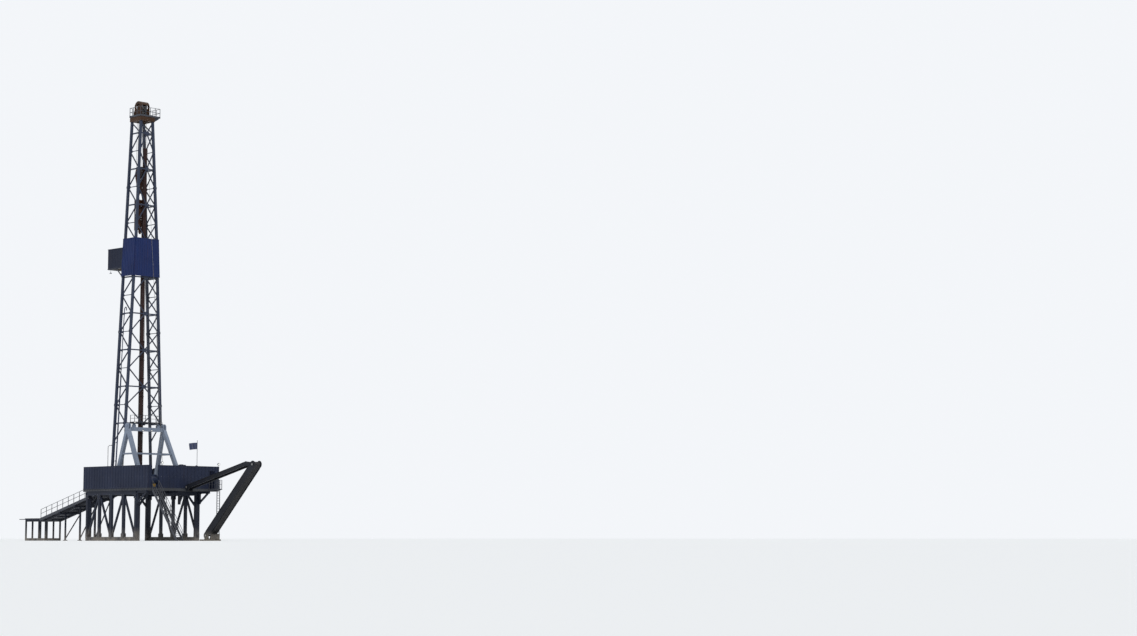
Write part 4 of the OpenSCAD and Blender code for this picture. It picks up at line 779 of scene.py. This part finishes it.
# cladding: pressed ribs and edge angles on the three sheets
clad = dict(low=3055, high=3492, out=21.3, rib=2.6, ribWidth=6, angle=3.6, angleHigh=7, back=-151.3,
            rear=-145, front=89, sideRibs=8, backRibs=11, over=16)
ribs = []
edges = (clad["low"] + 1, clad["high"] - 1)
for side in sides:
    for y in np.linspace(-136, 80, clad["sideRibs"]):
        a, b = (onSide(side, y, z, clad["out"] + clad["rib"] / 2) for z in (clad["low"], clad["high"]))
        ribs.append(bars(a, b, clad["rib"], clad["ribWidth"]))
    for z in edges:
        a, b = (onSide(side, y, z, clad["out"] + clad["angle"] / 2) for y in (clad["rear"], clad["front"]))
        ribs.append(bars(a, b, clad["angle"], clad["angleHigh"]))
for t in np.linspace(-0.94, 0.94, clad["backRibs"]):
    a, b = ([t * (float(halfWidth(z + dz)) + clad["over"]), clad["back"] - 1.2, z]
            for z, dz in ((clad["low"], -3), (clad["high"], 4)))
    ribs.append(bars(a, b, clad["ribWidth"], clad["rib"]))
for z in edges:
    w, y = float(halfWidth(z)) + clad["over"], clad["back"] - clad["angle"] / 2
    ribs.append(bars([-w, y, z], [w, y, z], clad["angle"], clad["angleHigh"], alongY))
makePiece("claddingRibs", ribs, "cladding_paint", bevel=0.3)

# floor walls: ribs, cap angles and bolt rows on the outer faces
wall = dict(rib=2.4, ribHalf=4, gap=51.5, cap=3, capIn=8, bolt=1.7)
wallLow, wallHigh = deckZ + 1, deckZ + rig["wallHeight"]
wallRibs, wallBolts = [], []


# ribs along one outer face: axis is the one it faces, plane its place on it, fore its outward sign
def wallFace(axis, plane, fore, start, end, low=wallLow, high=wallHigh):
    def placed(out, run, z):
        return xyz(out, run, z) if axis == 0 else xyz(run, out, z)

    places = np.linspace(start + 6, end - 6, max(2, int(round((end - start) / wall["gap"])) + 1))
    out, half = plane + fore * wall["rib"], wall["ribHalf"]
    wallRibs.append(boxes(placed(plane, places - half, low + 4), placed(out, places + half, high - 4)))
    wallRibs.append(boxes(placed(plane, start, low - 0.4), placed(out + (fore > 0), end, low + 5.6)))
    cap = placed(plane - fore * wall["capIn"], start, high - 6)
    wallRibs.append(boxes(cap, placed(plane + fore * wall["cap"], end, high + 2)))
    mids = (places[1:] + places[:-1]) / 2
    for z in (low + 9, (low + high) / 2, high - 12):
        wallBolts.append(bolts(placed(plane, mids, z), np.eye(3)[axis] * fore, wall["bolt"], 1.2))


floorLeft, floorRight = rig["floorLeft"], rig["floorRight"]
floorFront, floorRear = rig["floorFront"], rig["floorRear"]
wallFront, wallRear = floorFront - rig["wallIn"], floorRear + rig["wallIn"]
for run in ((0, floorLeft, -1, wallRear, wallFront), (0, floorRight, 1, 112, wallFront),
            (0, floorRight, 1, wallRear, -562), (0, floorRight, 1, -558, 108, wallLow, deckZ + 242),
            (1, wallRear, -1, -440, -403), (1, wallRear, -1, -307, 398), (1, wallRear, -1, 482, 520),
            (1, wallRear, -1, 398, 482, deckZ + 208, wallHigh),
            (1, wallFront, 1, -440, -152), (1, wallFront, 1, 152, 520)):
    wallFace(*run)
makePiece("windwallRibs", wallRibs, "windwall_paint", bevel=0.3)
makePiece("windwallBolts", wallBolts, "bare_steel", boltSteel)
# deck edge: a channel under the walls with upright stiffeners
channel = dict(low=560, high=588, lip=4, web=4, gap=52.0, frontGap=48.0, gate=120)
edge = []
ys, xs = np.arange(-850, 360, channel["gap"]), np.arange(-440, 520, channel["frontGap"])
xs = xs[np.abs(xs) > channel["gate"]]
low, high, lip = channel["low"], channel["high"], channel["lip"]
for side, x in ((-1, floorLeft), (1, floorRight)):
    edge += [boxes([x, floorRear, low], [x + side * 1.5, floorFront, low + lip]),
             boxes([x, floorRear, high - lip], [x + side * 3, floorFront, high]),
             boxes(xyz(x, ys, low + lip), xyz(x + side * 2.2, ys + channel["web"], high - lip))]
edge.append(boxes(xyz(xs, floorFront, low + 3), xyz(xs + channel["web"], floorFront + 2, high - 3)))
makePiece("deckEdge", edge, "substructure_paint")
print("cladding and floor walls made")

# doghouse: window frame with bars, door frame, ribbed roof, cooler and vents
dog = dict(x=332, outer=536, rear=-560, front=110, roof=842, sill=688, head=778, winRear=-470,
           winFront=-110, windowBars=(-380, -290, -200), frame=6, door=(-45, 55), doorLow=589,
           doorHigh=800, hinges=(620, 690, 760))
near, inner, frameWide = dog["x"] - 3, dog["x"] + 3, dog["frame"]
yr, yf, sill, head = dog["winRear"], dog["winFront"], dog["sill"], dog["head"]
window = []
for y0, y1, z0, z1 in ((yr - frameWide, yf + frameWide, sill - frameWide, sill + 1),
                       (yr - frameWide, yf + frameWide, head - 1, head + frameWide),
                       (yr - frameWide, yr + 1, sill, head), (yf - 1, yf + frameWide, sill, head)):
    window.append(boxes([near, y0, z0], [inner, y1, z1]))
for y in dog["windowBars"]:
    window.append(boxes([near + 1, y - 2.5, sill], [dog["x"] + 2.6, y + 2.5, head]))
doorRear, doorFront = dog["door"]
for a, b, z in ((doorRear, doorRear + 6, dog["doorLow"]), (doorFront - 6, doorFront, dog["doorLow"]),
                (doorRear, doorFront, dog["doorHigh"] - 6)):
    window.append(boxes([near, a, z], [dog["x"], b, dog["doorHigh"]]))
for z in dog["hinges"]:
    window.append(rods([dog["x"] - 2, -38.5, z - 7], [dog["x"] - 2, -38.5, z + 7], 2.2, 10))
makePiece("doghouseFrames", window, "mast_paint", bevel=0.3)
ys, top = np.arange(dog["rear"] + 16, dog["front"] - 6, 34.0), dog["roof"]
roof = [boxes(xyz(dog["x"] - 2, ys - 3, top), xyz(dog["outer"] - 1, ys + 3, top + 1.6)),
        boxes([400, -330, top], [470, -250, top + 34]),
        turned([[22, 0], [24, 1], [24, 4], [20, 5.5], [3, 5.5]], (435, -290, top + 34), n=32)]
for y in (-322, -312, -302):
    roof.append(boxes([399, y, top + 6], [400, y + 5, top + 28]))
for y in (-60, -490):
    roof.append(turned([[9, 0], [9, 16], [15, 17], [13, 22], [2, 26]], (500, y, top), n=24))
makePiece("doghouseRoofUnit", roof, "doghouse_paint", bevel=0.5)

# drawworks: rope wound on the drum, finned motors with cowls, a guard behind the drum
draw = dict(y=-600, z=662, drum=32, half=52, rope=1.75, turns=28, motorX=175, motorHalf=55, motorZ=674.3,
            fins=12, guardR=64, guardFrom=95, guardTo=235)
y, z = draw["y"], draw["z"]
a = np.linspace(0, 2 * np.pi * draw["turns"], draw["turns"] * 26)
wound = draw["drum"] + draw["rope"]
helix = xyz(np.linspace(-draw["half"], draw["half"], len(a)), y + wound * np.cos(a), z + wound * np.sin(a))
makePiece("drumRope", [tube(helix, draw["rope"], 7)], "wire_rope", smooth=80)
cowl = [[46, 0], [50, 1.5], [50, 9], [46, 14], [22, 16], [20, 13], [2, 13]]
fin = [[51, -1.5], [55.5, -1.2], [55.5, 1.2], [51, 1.5]]
motors = []
for side in sides:
    x = side * draw["motorX"]
    for along in np.linspace(-44, 44, draw["fins"]):
        motors.append(turned(fin, (x + along, y, draw["motorZ"]), alongX))
    motors.append(turned(cowl, (x + side * draw["motorHalf"], y, draw["motorZ"]), (side, 0, 0)))
    motors.append(boxes([x - 24, y - 20, 725], [x + 24, y + 20, 746]))
    lead = np.array([[-20, 736], [-50, 738], [-72, 716], [-76, 660], [-76, 610]])
    motors.append(tube(curveThrough(xyz(x, y + lead[:, 0], lead[:, 1]), 8), 5))
makePiece("motorFins", motors, "machine_paint", bevel=0.4)
a = np.radians(np.linspace(draw["guardFrom"], draw["guardTo"], 22))
guard = xyz(0, y + draw["guardR"] * np.cos(a), z + draw["guardR"] * np.sin(a))
hood = [sweep(guard, rectangle(132, 2))] + [sweep(guard + (x, 0, 0), rectangle(4, 6)) for x in (-64, 0, 64)]
hood += [boxes([-236, y - 84, 608], [-214, y - 62, 640]), boxes([214, y + 62, 608], [236, y + 84, 632])]
makePiece("drawworksHood", hood, "crown_paint", railYellow, bevel=0.4)

# rotary table ring, setback mats, driller's desk and the pipe wrench machine
tableTop = (0, 0, 594)
rotary = [turned([[52, 0], [60, 0], [60, 2.2], [58, 3], [54, 3], [52, 2.2]], tableTop, n=48, closed=True),
          turned([[36, 0], [43, 0], [43, 1.6], [42, 2.4], [37, 2.4], [36, 1.6]], tableTop, n=48, closed=True),
          bolts(roundSpots(16, 69.5, tableTop), alongZ, 3, 2.4),
          boxes([[43, -1.2, 594], [-52, -1.2, 594]], [[52, 1.2, 595.6], [-43, 1.2, 595.6]])]
makePiece("rotaryRing", rotary, "bare_steel")
xs = np.arange(118, 322, 24.0)
mats = [boxes(xyz(side * (xs + 1), 122, 588.3), xyz(side * (xs + 23), 346, 591.6)) for side in sides]
makePiece("setbackMats", mats, "deck_plate", matTimber, bevel=0.5)
deskSide = np.array([[-142, 589], [-96, 589], [-96, 640], [-112, 668], [-142, 668]])
desk = [plate(xyz(196, deskSide[:, 0], deskSide[:, 1]), (52, 0, 0)),
        boxes([200, -114, 642], [244, -95, 645]), boxes([192, -144, 668], [252, -108, 671])]
desk += [rods([x, -104, 654], [x, -100, 664], 1.6, 8) for x in (206, 216, 226, 236)]
makePiece("drillerDesk", desk, "machine_paint", bevel=0.6)
post = [[26, 0], [26, 4], [16, 8], [14, 60], [17, 62], [17, 70], [2, 70]]
wrench = [turned(post, (-170, -20, 588.3), n=30),
          bars([-170, -20, 648], [-112, -8, 648], 22, 16, alongZ),
          turned([[12, 0], [21, 0], [21, 34], [12, 34]], (-98, -5, 632), n=30, closed=True),
          rods([-150, -34, 652], [-112, -26, 652], 4), rods([-150, -2, 652], [-112, 6, 652], 4)]
makePiece("pipeWrench", wrench, "crown_paint", railYellow, bevel=0.6)
print("doghouse, drawworks and deck pieces made")

# travelling block and top drive: these ride on the hoist
block = dict(axle=4265, x=42, low=4100, boltRing=42, strapBolts=((-20, 20), (4334, 4342)))
cheek = [[34, 0], [50, 0], [50, 1.5], [48, 2.5], [36, 2.5], [34, 1.5]]
trim, hoistBolts = [], []
for side in sides:
    face = np.array([side * block["x"], 0, block["axle"]])
    trim.append(turned(cheek, face, (side, 0, 0), 44, True))
    trim.append(turned([[17, 0], [17, 3], [14, 5], [8, 5], [7, 7], [1, 7]], face, (side, 0, 0), 28))
    ring = roundSpots(10, block["boltRing"], face + (side * 2.5, 0, 0), True)
    strap = xyz(face[0], *pairs(*block["strapBolts"]))
    hoistBolts.append(bolts(np.concatenate([ring, strap]), (side, 0, 0), 2.2, 1.6))
    trim.append(boxes([side * 42, -26, 4326], [side * 44, 26, 4330]))
trim.append(boxes([-37, -24, 4347], [37, 24, 4350]))
trim.append(turned([[17, 0], [20, 2], [20, 14], [17, 16]], (0, 0, block["low"] + 8), n=28))
drive = dict(boxLow=3862, boxHigh=3958, louvres=9, cageX=54, cageY=30, cageLow=3600, cageHigh=3866,
             boltRing=47.04)
louvreZ = np.linspace(drive["boxLow"] + 12, drive["boxHigh"] - 12, drive["louvres"])
x, y = drive["cageX"], drive["cageY"]
for side in sides:
    trim += [boxes(xyz(side * 60, -28, louvreZ - 1.6), xyz(side * 64, 28, louvreZ + 1.6)),
             turned([[20, 0], [22, 1.5], [22, 10], [17, 13], [3, 13]], (side * 28, 40, 3910), alongY, 30),
             bars([side * x, y, drive["cageLow"]], [side * x, y, drive["cageHigh"]], 7, 7),
             bars([side * x, y, drive["cageLow"] + 4], [side * 34, 6, drive["cageLow"] + 4], 6, 6, alongZ),
             turned([[8, -4], [13, -4], [13, 4], [8, 4]], (side * 46, 0, 3950), alongY, 20, True)]
    hoistBolts.append(bolts([[side * a, 40, z] for a in (6, 52) for z in (3876, 3944)], alongY, 2.2, 1.6))
rungZ = (3640, 3750, 3850)
trim.append(bars(xyz(-x, y, rungZ), xyz(x, y, rungZ), 5, 5, alongZ))
collar = [[46, 0], [50, 1], [50, 7], [46, 8]]
for profile, z, n in ((collar, 3700, 40), (collar, 3848, 40),
                      ([[34, 0], [38, 1], [38, 8], [34, 9]], 3648, 36),
                      ([[12, 0], [19, 2], [19, 26], [15, 30], [12, 30]], 3574, 28)):
    trim.append(turned(profile, (0, 0, z), n=n))
hoistBolts.append(bolts(roundSpots(12, drive["boltRing"], (0, 0, 3856)), alongZ, 2, 2))
hoistBolts.append(bolts(roundSpots(12, 42, (0, 0, 3700)), (0, 0, -1), 2, 3))
makePiece("hoistTrim", trim, "hoist_paint", body="hoist", bevel=0.5)
makePiece("hoistBolts", hoistBolts, "bare_steel", boltSteel, "hoist")
# the thick neck, and four hoses that draw together as they fall
neck = curveThrough([(0, 18, 4046), (0, 30, 4048), (4, 44, 4040), (14, 52, 4016), (20, 54, 3980),
                     (20, 55, 3930), (20, 55, 3890)], 8)
hosePipes = [tube(neck, 4.6, 14)]
for n, x in enumerate((-40, -32, 36, 44)):
    fall = np.array([[1, 41, 3880 - 4 * n], [1, 52, 3872], [1.05, 56, 3840], [1.02, 52, 3790],
                     [0.8, 44, 3740], [0.7, 36, 3700]])
    hosePipes.append(tube(curveThrough(fall * (x, 1, 1), 7), 1.9, 9))
makePiece("drivePipes", hosePipes, "bare_steel", hoseRubber, "hoist")

# dolly rollers on the guide beam, and the splices of the beam itself
rollers = []
for x, z in pairs((-31, 31), (3718, 3746, 3878, 3906)).T:
    rollers.append(turned([[2, -4], [7, -4], [7.5, -3], [7.5, 3], [7, 4], [2, 4]], (x, -66, z), alongY, 18))
    rollers.append(bolts([x, -70, z], (0, -1, 0), 2.6, 2))
makePiece("dollyRollers", rollers, "bare_steel", boltSteel, "hoist")
zs = np.array([1180, 1992, 2840, 3688, 4240])
splices = [boxes(xyz(-20, -90, zs - 26), xyz(20, -88, zs + 26))]
splices += [boxes(xyz(side * 3, -80, zs - 24), xyz(side * 5, -70, zs + 24)) for side in sides]
spots = [[x, -90, z + up] for z in zs for x in (-13, 13) for up in (-18, -6, 6, 18)]
makePiece("guideSplices", splices, "guide_paint")
makePiece("guideBolts", [bolts(spots, (0, -1, 0), 2, 1.6)], "bare_steel", boltSteel)

# elevator: collar, latch, hinge and handles; it rides on the links
z = 3347
elevator = [turned([[34, -15], [37, -13], [37, -7], [34, -5]], (0, 0, z), n=36),
            turned([[34, 6], [37, 8], [37, 14], [34, 16]], (0, 0, z), n=36),
            turned([[9, 0], [26, 0], [24, 3], [11, 5], [9, 4]], (0, 0, z + 20), n=36, closed=True),
            rods([0, 37, z - 18], [0, 37, z + 18], 4.5, 14), boxes([-7, 33, z - 9], [7, 44, z + 9]),
            rods([0, -37, z - 19], [0, -37, z + 19], 4.2, 14)]
eye = [[14, 0], [18.5, 0], [18.5, 1.2], [14, 1.2]]
for side in sides:
    handle = curveThrough([(side * x, y, z + 4) for x, y in ((24, 27), (30, 44), (20, 52), (12, 50))], 8)
    elevator += [tube(handle, 1.8, 8, alongZ),
                 turned([[7, 0], [9, 1], [9, 3], [7, 4]], (side * 66, 0, z), (side, 0, 0), 18),
                 turned(eye, (side * 65, 0, 3617), (side, 0, 0), 30, True)]
makePiece("elevatorTrim", elevator, "hoist_paint", body="elevator_links", bevel=0.4)
print("hoist pieces made")

# pipe ramp and walkway: rub bars, rollers and grating in the plane of the slope
ramp = dict(top=(370.3, 584.0), end=(1635.0, 262.0), half=110, walk=84, rubAt=(-78, -39, 0, 39, 78),
            rollerGap=118.0, rollerR=5.5, cleatGap=60.0, catFrom=1640, catTo=2064, catZ=258)
downhill = np.array(ramp["end"]) - ramp["top"]
rampLong = float(np.linalg.norm(downhill))
downhill /= rampLong


# turns a shape drawn level along Y into the plane of the ramp
def onRamp(shape):
    x, y, z = shape[0].T[:, :, None]
    leaning = y * downhill + z * np.array([-downhill[1], downhill[0]]) + ramp["top"]
    return np.concatenate([x, leaning], 1), shape[1]


xs, ys = np.array(ramp["rubAt"]), np.arange(60, rampLong - 40, ramp["rollerGap"])
rub = [onRamp(boxes(xyz(xs - 5, 8, -3.2), xyz(xs + 5, rampLong - 8, -0.6))),
       onRamp(rods(xyz(-97, ys, -5), xyz(97, ys, -5), ramp["rollerR"], 16))]
makePiece("rampRubBars", rub, "bare_steel")
ys, y0, y1, low = np.arange(40, rampLong - 20, ramp["cleatGap"]), ramp["catFrom"], ramp["catTo"], ramp["catZ"]
steps = grating(-ramp["half"] - ramp["walk"] + 8, -ramp["half"] - 1, 8, rampLong - 10, 0, 9.0)
steps = [onRamp(shape) for shape in steps + [boxes(xyz(-184, ys, 1), xyz(-114, ys + 3, 3.4))]]
makePiece("rampGrating", steps + grating(-194, 110, y0 - 4, y1, low, 12.0, 2.0), "walkway_steel")
ys = np.arange(1700, 2001, 100)
kerbs = [boxes([-116, y0, low], [-108, y1, low + 10]), boxes([102, y0, low], [110, y1, low + 10]),
         boxes([-108, y1 - 8, low], [102, y1, low + 8]), bars(xyz(112, ys, 250), xyz(112, ys, 284), 6, 6)]
makePiece("catwalkKerbs", kerbs, "substructure_paint", bevel=0.5)

# substructure: end plates with their bolts
sub = dict(x=430, postHalf=15, rear=-635, front=325, bays=4, thick=2, half=27,
           heights=((32, 84), (476, 528)), bolt=2.6, boltHigh=2.2, endHalf=22, endLow=500, endHigh=556)
plates, plateBolts = [], []
posts = np.linspace(sub["rear"] + sub["postHalf"], sub["front"] - sub["postHalf"], sub["bays"] + 1)
for side in sides:
    for y in posts:
        rear, front = max(y - sub["half"], sub["rear"]), min(y + sub["half"], sub["front"])
        for low, high in sub["heights"]:
            for out in sides:
                x, thick = side * (sub["x"] + out * sub["postHalf"]), side * out * sub["thick"]
                plates.append(boxes([x, rear, low], [x + thick, front, high]))
            spots = xyz(x + thick, *pairs((rear + 6, front - 6), (low + 8, high - 8)))
            plateBolts.append(bolts(spots, (side, 0, 0), sub["bolt"], sub["boltHigh"]))
endSpots = pairs((-16, 16), (510, 528, 546))
for y, fore in ((sub["rear"], -1), (sub["front"], 1)):
    outer = y + fore * sub["thick"]
    for x in (-sub["x"], sub["x"]):
        lower = [x - sub["endHalf"], y, sub["endLow"]]
        plates.append(boxes(lower, [x + sub["endHalf"], outer, sub["endHigh"]]))
        spots = xyz(x + endSpots[0], outer, endSpots[1])
        plateBolts.append(bolts(spots, (0, fore, 0), sub["bolt"], sub["boltHigh"]))
makePiece("substructurePlates", plates, "substructure_paint", bevel=0.4)
makePiece("substructureBolts", plateBolts, "bare_steel", boltSteel)

# stair: grating on every tread, and the gratings of the landing and the mast's walkway
stair = dict(left=-395, right=-319, slope=51, rise=21, count=27, back=6, barsAt=(-9, -3, 3, 9),
             barHalf=0.8, high=1.2)
drop = stair["rise"] * np.arange(1, stair["count"] + 1)
ys = rig["floorRear"] - stair["back"] - drop / math.tan(math.radians(stair["slope"]))
zs, h = deckZ - drop, stair["barHalf"]
treads = [boxes(xyz(stair["left"], ys + fore - h, zs), xyz(stair["right"], ys + fore + h, zs + stair["high"]))
          for fore in stair["barsAt"]]
treads += grating(390, 496, -978, -868, 588) + grating(-186, 186, -226, -141, 1357.3)
makePiece("stairGrating", treads, "walkway_steel")
print("ramp, substructure and stair pieces made")

# cable boom: cables inside the arms, edge flanges, pin caps and the cabinet at its foot
boom = dict(x=100, hinge=(-894, 604), bend=(-1945, 846), knee=(-2074, 834), foot=(-1268, 59), upper=46,
            lower=78, cables=(-30, -18, -7, 6, 18, 30), cableR=(4.2, 3.4), flange=5, flangeThick=3)
route = np.array([(-872, 596), (-905, 606), (-1150, 664), (-1500, 745), (-1880, 832), (-1990, 853),
                  (-2062, 860), (-2098, 846), (-2098, 812), (-2060, 776), (-1900, 620), (-1600, 326),
                  (-1400, 132), (-1352, 76), (-1350, 44)])
middle = boom["x"]
cables = [tube(curveThrough(xyz(middle + out, *route.T), 10), boom["cableR"][n % 2], 10)
          for n, out in enumerate(boom["cables"])]
makePiece("boomCables", cables, "boom_paint", cableRubber, smooth=80)
flanges, pinCaps = [], []


# thin flange along both edges of an arm between two points
def armFlange(start, end, depth, x, trimEnds):
    start, end = np.array(start, float), np.array(end, float)
    t = unit(end - start)
    for s in sides:
        edge = s * (depth - boom["flangeThick"]) / 2 * np.array([-t[1], t[0]])
        flanges.append(bars([x, *(start + t * trimEnds + edge)], [x, *(end - t * trimEnds + edge)],
                            boom["flange"], boom["flangeThick"]))


for side in sides:
    armFlange(boom["hinge"], boom["bend"], boom["upper"], middle + side * 43.5, 26)
    armFlange(boom["foot"], boom["knee"], boom["lower"], middle + side * 49.5, 30)
    for pin, out in (("hinge", 48), ("knee", 54), ("foot", 54)):
        at = (middle + side * out, *boom[pin])
        pinCaps.append(turned([[13, 0], [13, 3], [11, 4.5], [5, 4.5], [4, 6], [1, 6]], at, (side, 0, 0), 24))
y, z = np.array([(-1100, 651), (-1300, 697), (-1500, 744), (-1700, 790)]).T
flanges += [boxes(xyz(middle - 40, y - 4, z - 14), xyz(middle + 40, y + 4, z - 9)),
            boxes([middle - 40, -1404, 16], [middle + 40, -1344, 74]),
            boxes([middle - 43, -1407, 74], [middle + 43, -1341, 78])]
flanges += [boxes([middle + x - 17, -1406, 24], [middle + x + 17, -1404, 68]) for x in (-20, 20)]
makePiece("boomTrim", flanges, "boom_paint", bevel=0.4)
makePiece("boomPinCaps", pinCaps, "bare_steel", boltSteel, bevel=0.3)

# lamps: hoods and lenses on the wall posts, and flat lamps on the mast, beam and board
lampHeads, lenses = [], []
tilt = math.radians(110)
tip = np.array([0, -math.sin(tilt), math.cos(tilt)])
for x in (526, -267):
    base = np.array([x, -864, deckZ + rig["wallHeight"] + 31.6])
    lampHeads.append(turned([[13, -1], [15, -1], [15, 3], [13.6, 3]], base + tip * 11, tip, 32, True))
    lampHeads += [boxes(base + (out, -1, -3), base + (out + 3, 3, 3)) for out in (-16, 13)]
    lenses.append(turned([[1, -1], [12.6, -1], [12.6, 0.6], [8, 2.2], [1, 2.8]], base + tip * 12, tip, 32))
lampPairs = (((60, -214, 1262), (0, -1, -0.5)), ((120, 378, 3158), (0, 0.4, -1)),
             ((192, -236, 1352), (0.3, -1, -0.6)))
flatLamps = [(at * np.array([side, 1, 1]), aim * np.array([side, 1, 1]))
             for at, aim in lampPairs for side in sides]
for at, aim in flatLamps + [((332, 60, 812), np.array([-1, 0, -0.6]))]:
    aim = unit(aim)
    lampHeads += [bars(at - aim * 4, at + aim * 2.5, 24, 10), rods(at - aim * 4, at - aim * 10, 2, 8)]
    lenses.append(bars(at + aim * 2.3, at + aim * 3.4, 21, 7.5))
makePiece("lampHeads", lampHeads, "machine_paint", bevel=0.4)
makePiece("lampLenses", lenses, "window_glass", lensGlass)

# hose loop by the near front leg: out of a fitting, down, and up into the fitting below
loop = dict(top=1092, low=884, reach=50, bend=25, diameter=6, out=(-0.35, 0.94, 0), flat=(0.94, 0.35, 0))
top, low, reach, bend = (loop[k] for k in ("top", "low", "reach", "bend"))
outward = unit(np.array(loop["out"]))
anchor = onSide(-1, rig["mastFront"] + legHalf, (top + low) / 2) * (1, 1, 0) + (-6, 6, 0)


# part of a bend as (way out, height), between two angles
def bendPart(height, start, end, count):
    a = np.radians(np.linspace(start, end, count))
    return np.stack([reach - bend + bend * np.cos(a), height + bend * np.sin(a)], 1)


fallZ = np.linspace(top - bend - 16, low - 4, 9)
profile = np.concatenate([[[-4, top], [reach - bend - 12, top]], bendPart(top - bend, 90, 0, 9),
                          np.stack([np.full(9, reach), fallZ], 1), bendPart(low - 20, 0, -180, 15),
                          [[reach - 2 * bend, low + 2]]])
hosePath = curveThrough(anchor + profile[:, :1] * outward + profile[:, 1:] * np.array(alongZ), 3)
hose = tube(hosePath, loop["diameter"] / 2, 14, loop["flat"])
hoseLoop = makePiece("hoseLoop", [hose], "wire_rope", hoseRubber, smooth=80)
fittings = []
for z, along, back in ((top, outward, 6), (low + 2, np.array([0, 0, -1.0]), 0)):
    seat = anchor + (0, 0, z) - along * back
    fittings += [turned([[3, -2], [5.6, -2], [5.6, 6], [4.6, 8], [4.6, 14], [3, 14]], seat, along, 14, True),
                 boxes(anchor + (-2, -16, z - 7), anchor + (12, 1, z + 7))]
makePiece("hoseFittings", fittings, "bare_steel", boltSteel, bevel=0.3)

# service pipes clamped to the guide beam, from the deck to the middle of the mast
y, low = -80, 588.5
guidePipes = []
for x, r, top in ((-27, 4.2, 2480), (27, 3.2, 2300), (34, 2.4, 3020)):
    guidePipes += [tube(xyz(x, y, np.linspace(low, top, 12)), r),
                   turned([[r, -3], [r + 2, -3], [r + 2, 3], [r, 4]], (x, y, top), n=14),
                   turned([[r, 0], [r + 2.4, 0], [r + 2.4, 3], [r + 1, 5], [r, 5]], (x, y, low), n=14)]
makePiece("guidePipes", guidePipes, "wire_rope", cableRubber, smooth=60)
zs = np.arange(810, 2470, 212)
makePiece("guideClamps", [boxes(xyz(-33, -88, zs - 3), xyz(38, -84, zs + 3))], "guide_paint", bevel=0.4)

# flag: each row leaves the pole and waves; the way along X shrinks so that the cloth keeps its length
flag = dict(length=118, height=75, poleX=225, y=-859, top=1111, gap=2.6, wave=5.5, folds=2.3, droop=0.10,
            held=45, columns=90, rows=46, rings=(1108, 1073, 1039))
cols, rows, long = flag["columns"], flag["rows"], flag["length"]
along, down = np.meshgrid(np.linspace(0, long, cols), np.linspace(0, 1, rows))
swing = flag["wave"] * np.clip(along / flag["held"], 0, 1) * (0.65 + 0.35 * down) * np.sin(
    2 * np.pi * flag["folds"] * along / long + 1.3 * down + 0.4)
drop = flag["droop"] * along * (0.4 + 0.6 * along / long)
whole = (long / (cols - 1)) ** 2
taken = np.gradient(swing, axis=1) ** 2 + np.gradient(drop, axis=1) ** 2
way = np.sqrt(np.maximum(whole - taken, 0.2 * whole))
way[:, 0] = flag["gap"]
points = xyz(flag["poleX"] - np.cumsum(way, 1), flag["y"] + swing, flag["top"] - down * flag["height"] - drop)
q = (np.arange(rows - 1)[:, None] * cols + np.arange(cols - 1)).reshape(-1)
clothFaces = np.stack([q, q + 1, q + cols + 1, q + cols], 1)
flagPiece = makePiece("flagSheet", [(points.reshape(-1, 3), [clothFaces])], "flag_cloth", smooth=80)
corner = clothFaces.reshape(-1)
uv = np.stack([along.reshape(-1)[corner] / long, 1 - down.reshape(-1)[corner]], 1)
flagPiece.data.uv_layers.new(name="cloth").data.foreach_set("uv", uv.astype(np.float32).ravel())
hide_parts("flag")
ring = [[2.7, -1.2], [3.8, -0.8], [3.8, 0.8], [2.7, 1.2]]
rings = [turned(ring, (flag["poleX"], flag["y"], z), n=16, closed=True) for z in flag["rings"]]
makePiece("flagRings", rings, "bare_steel", boltSteel)
print("boom, lamps and flag made")
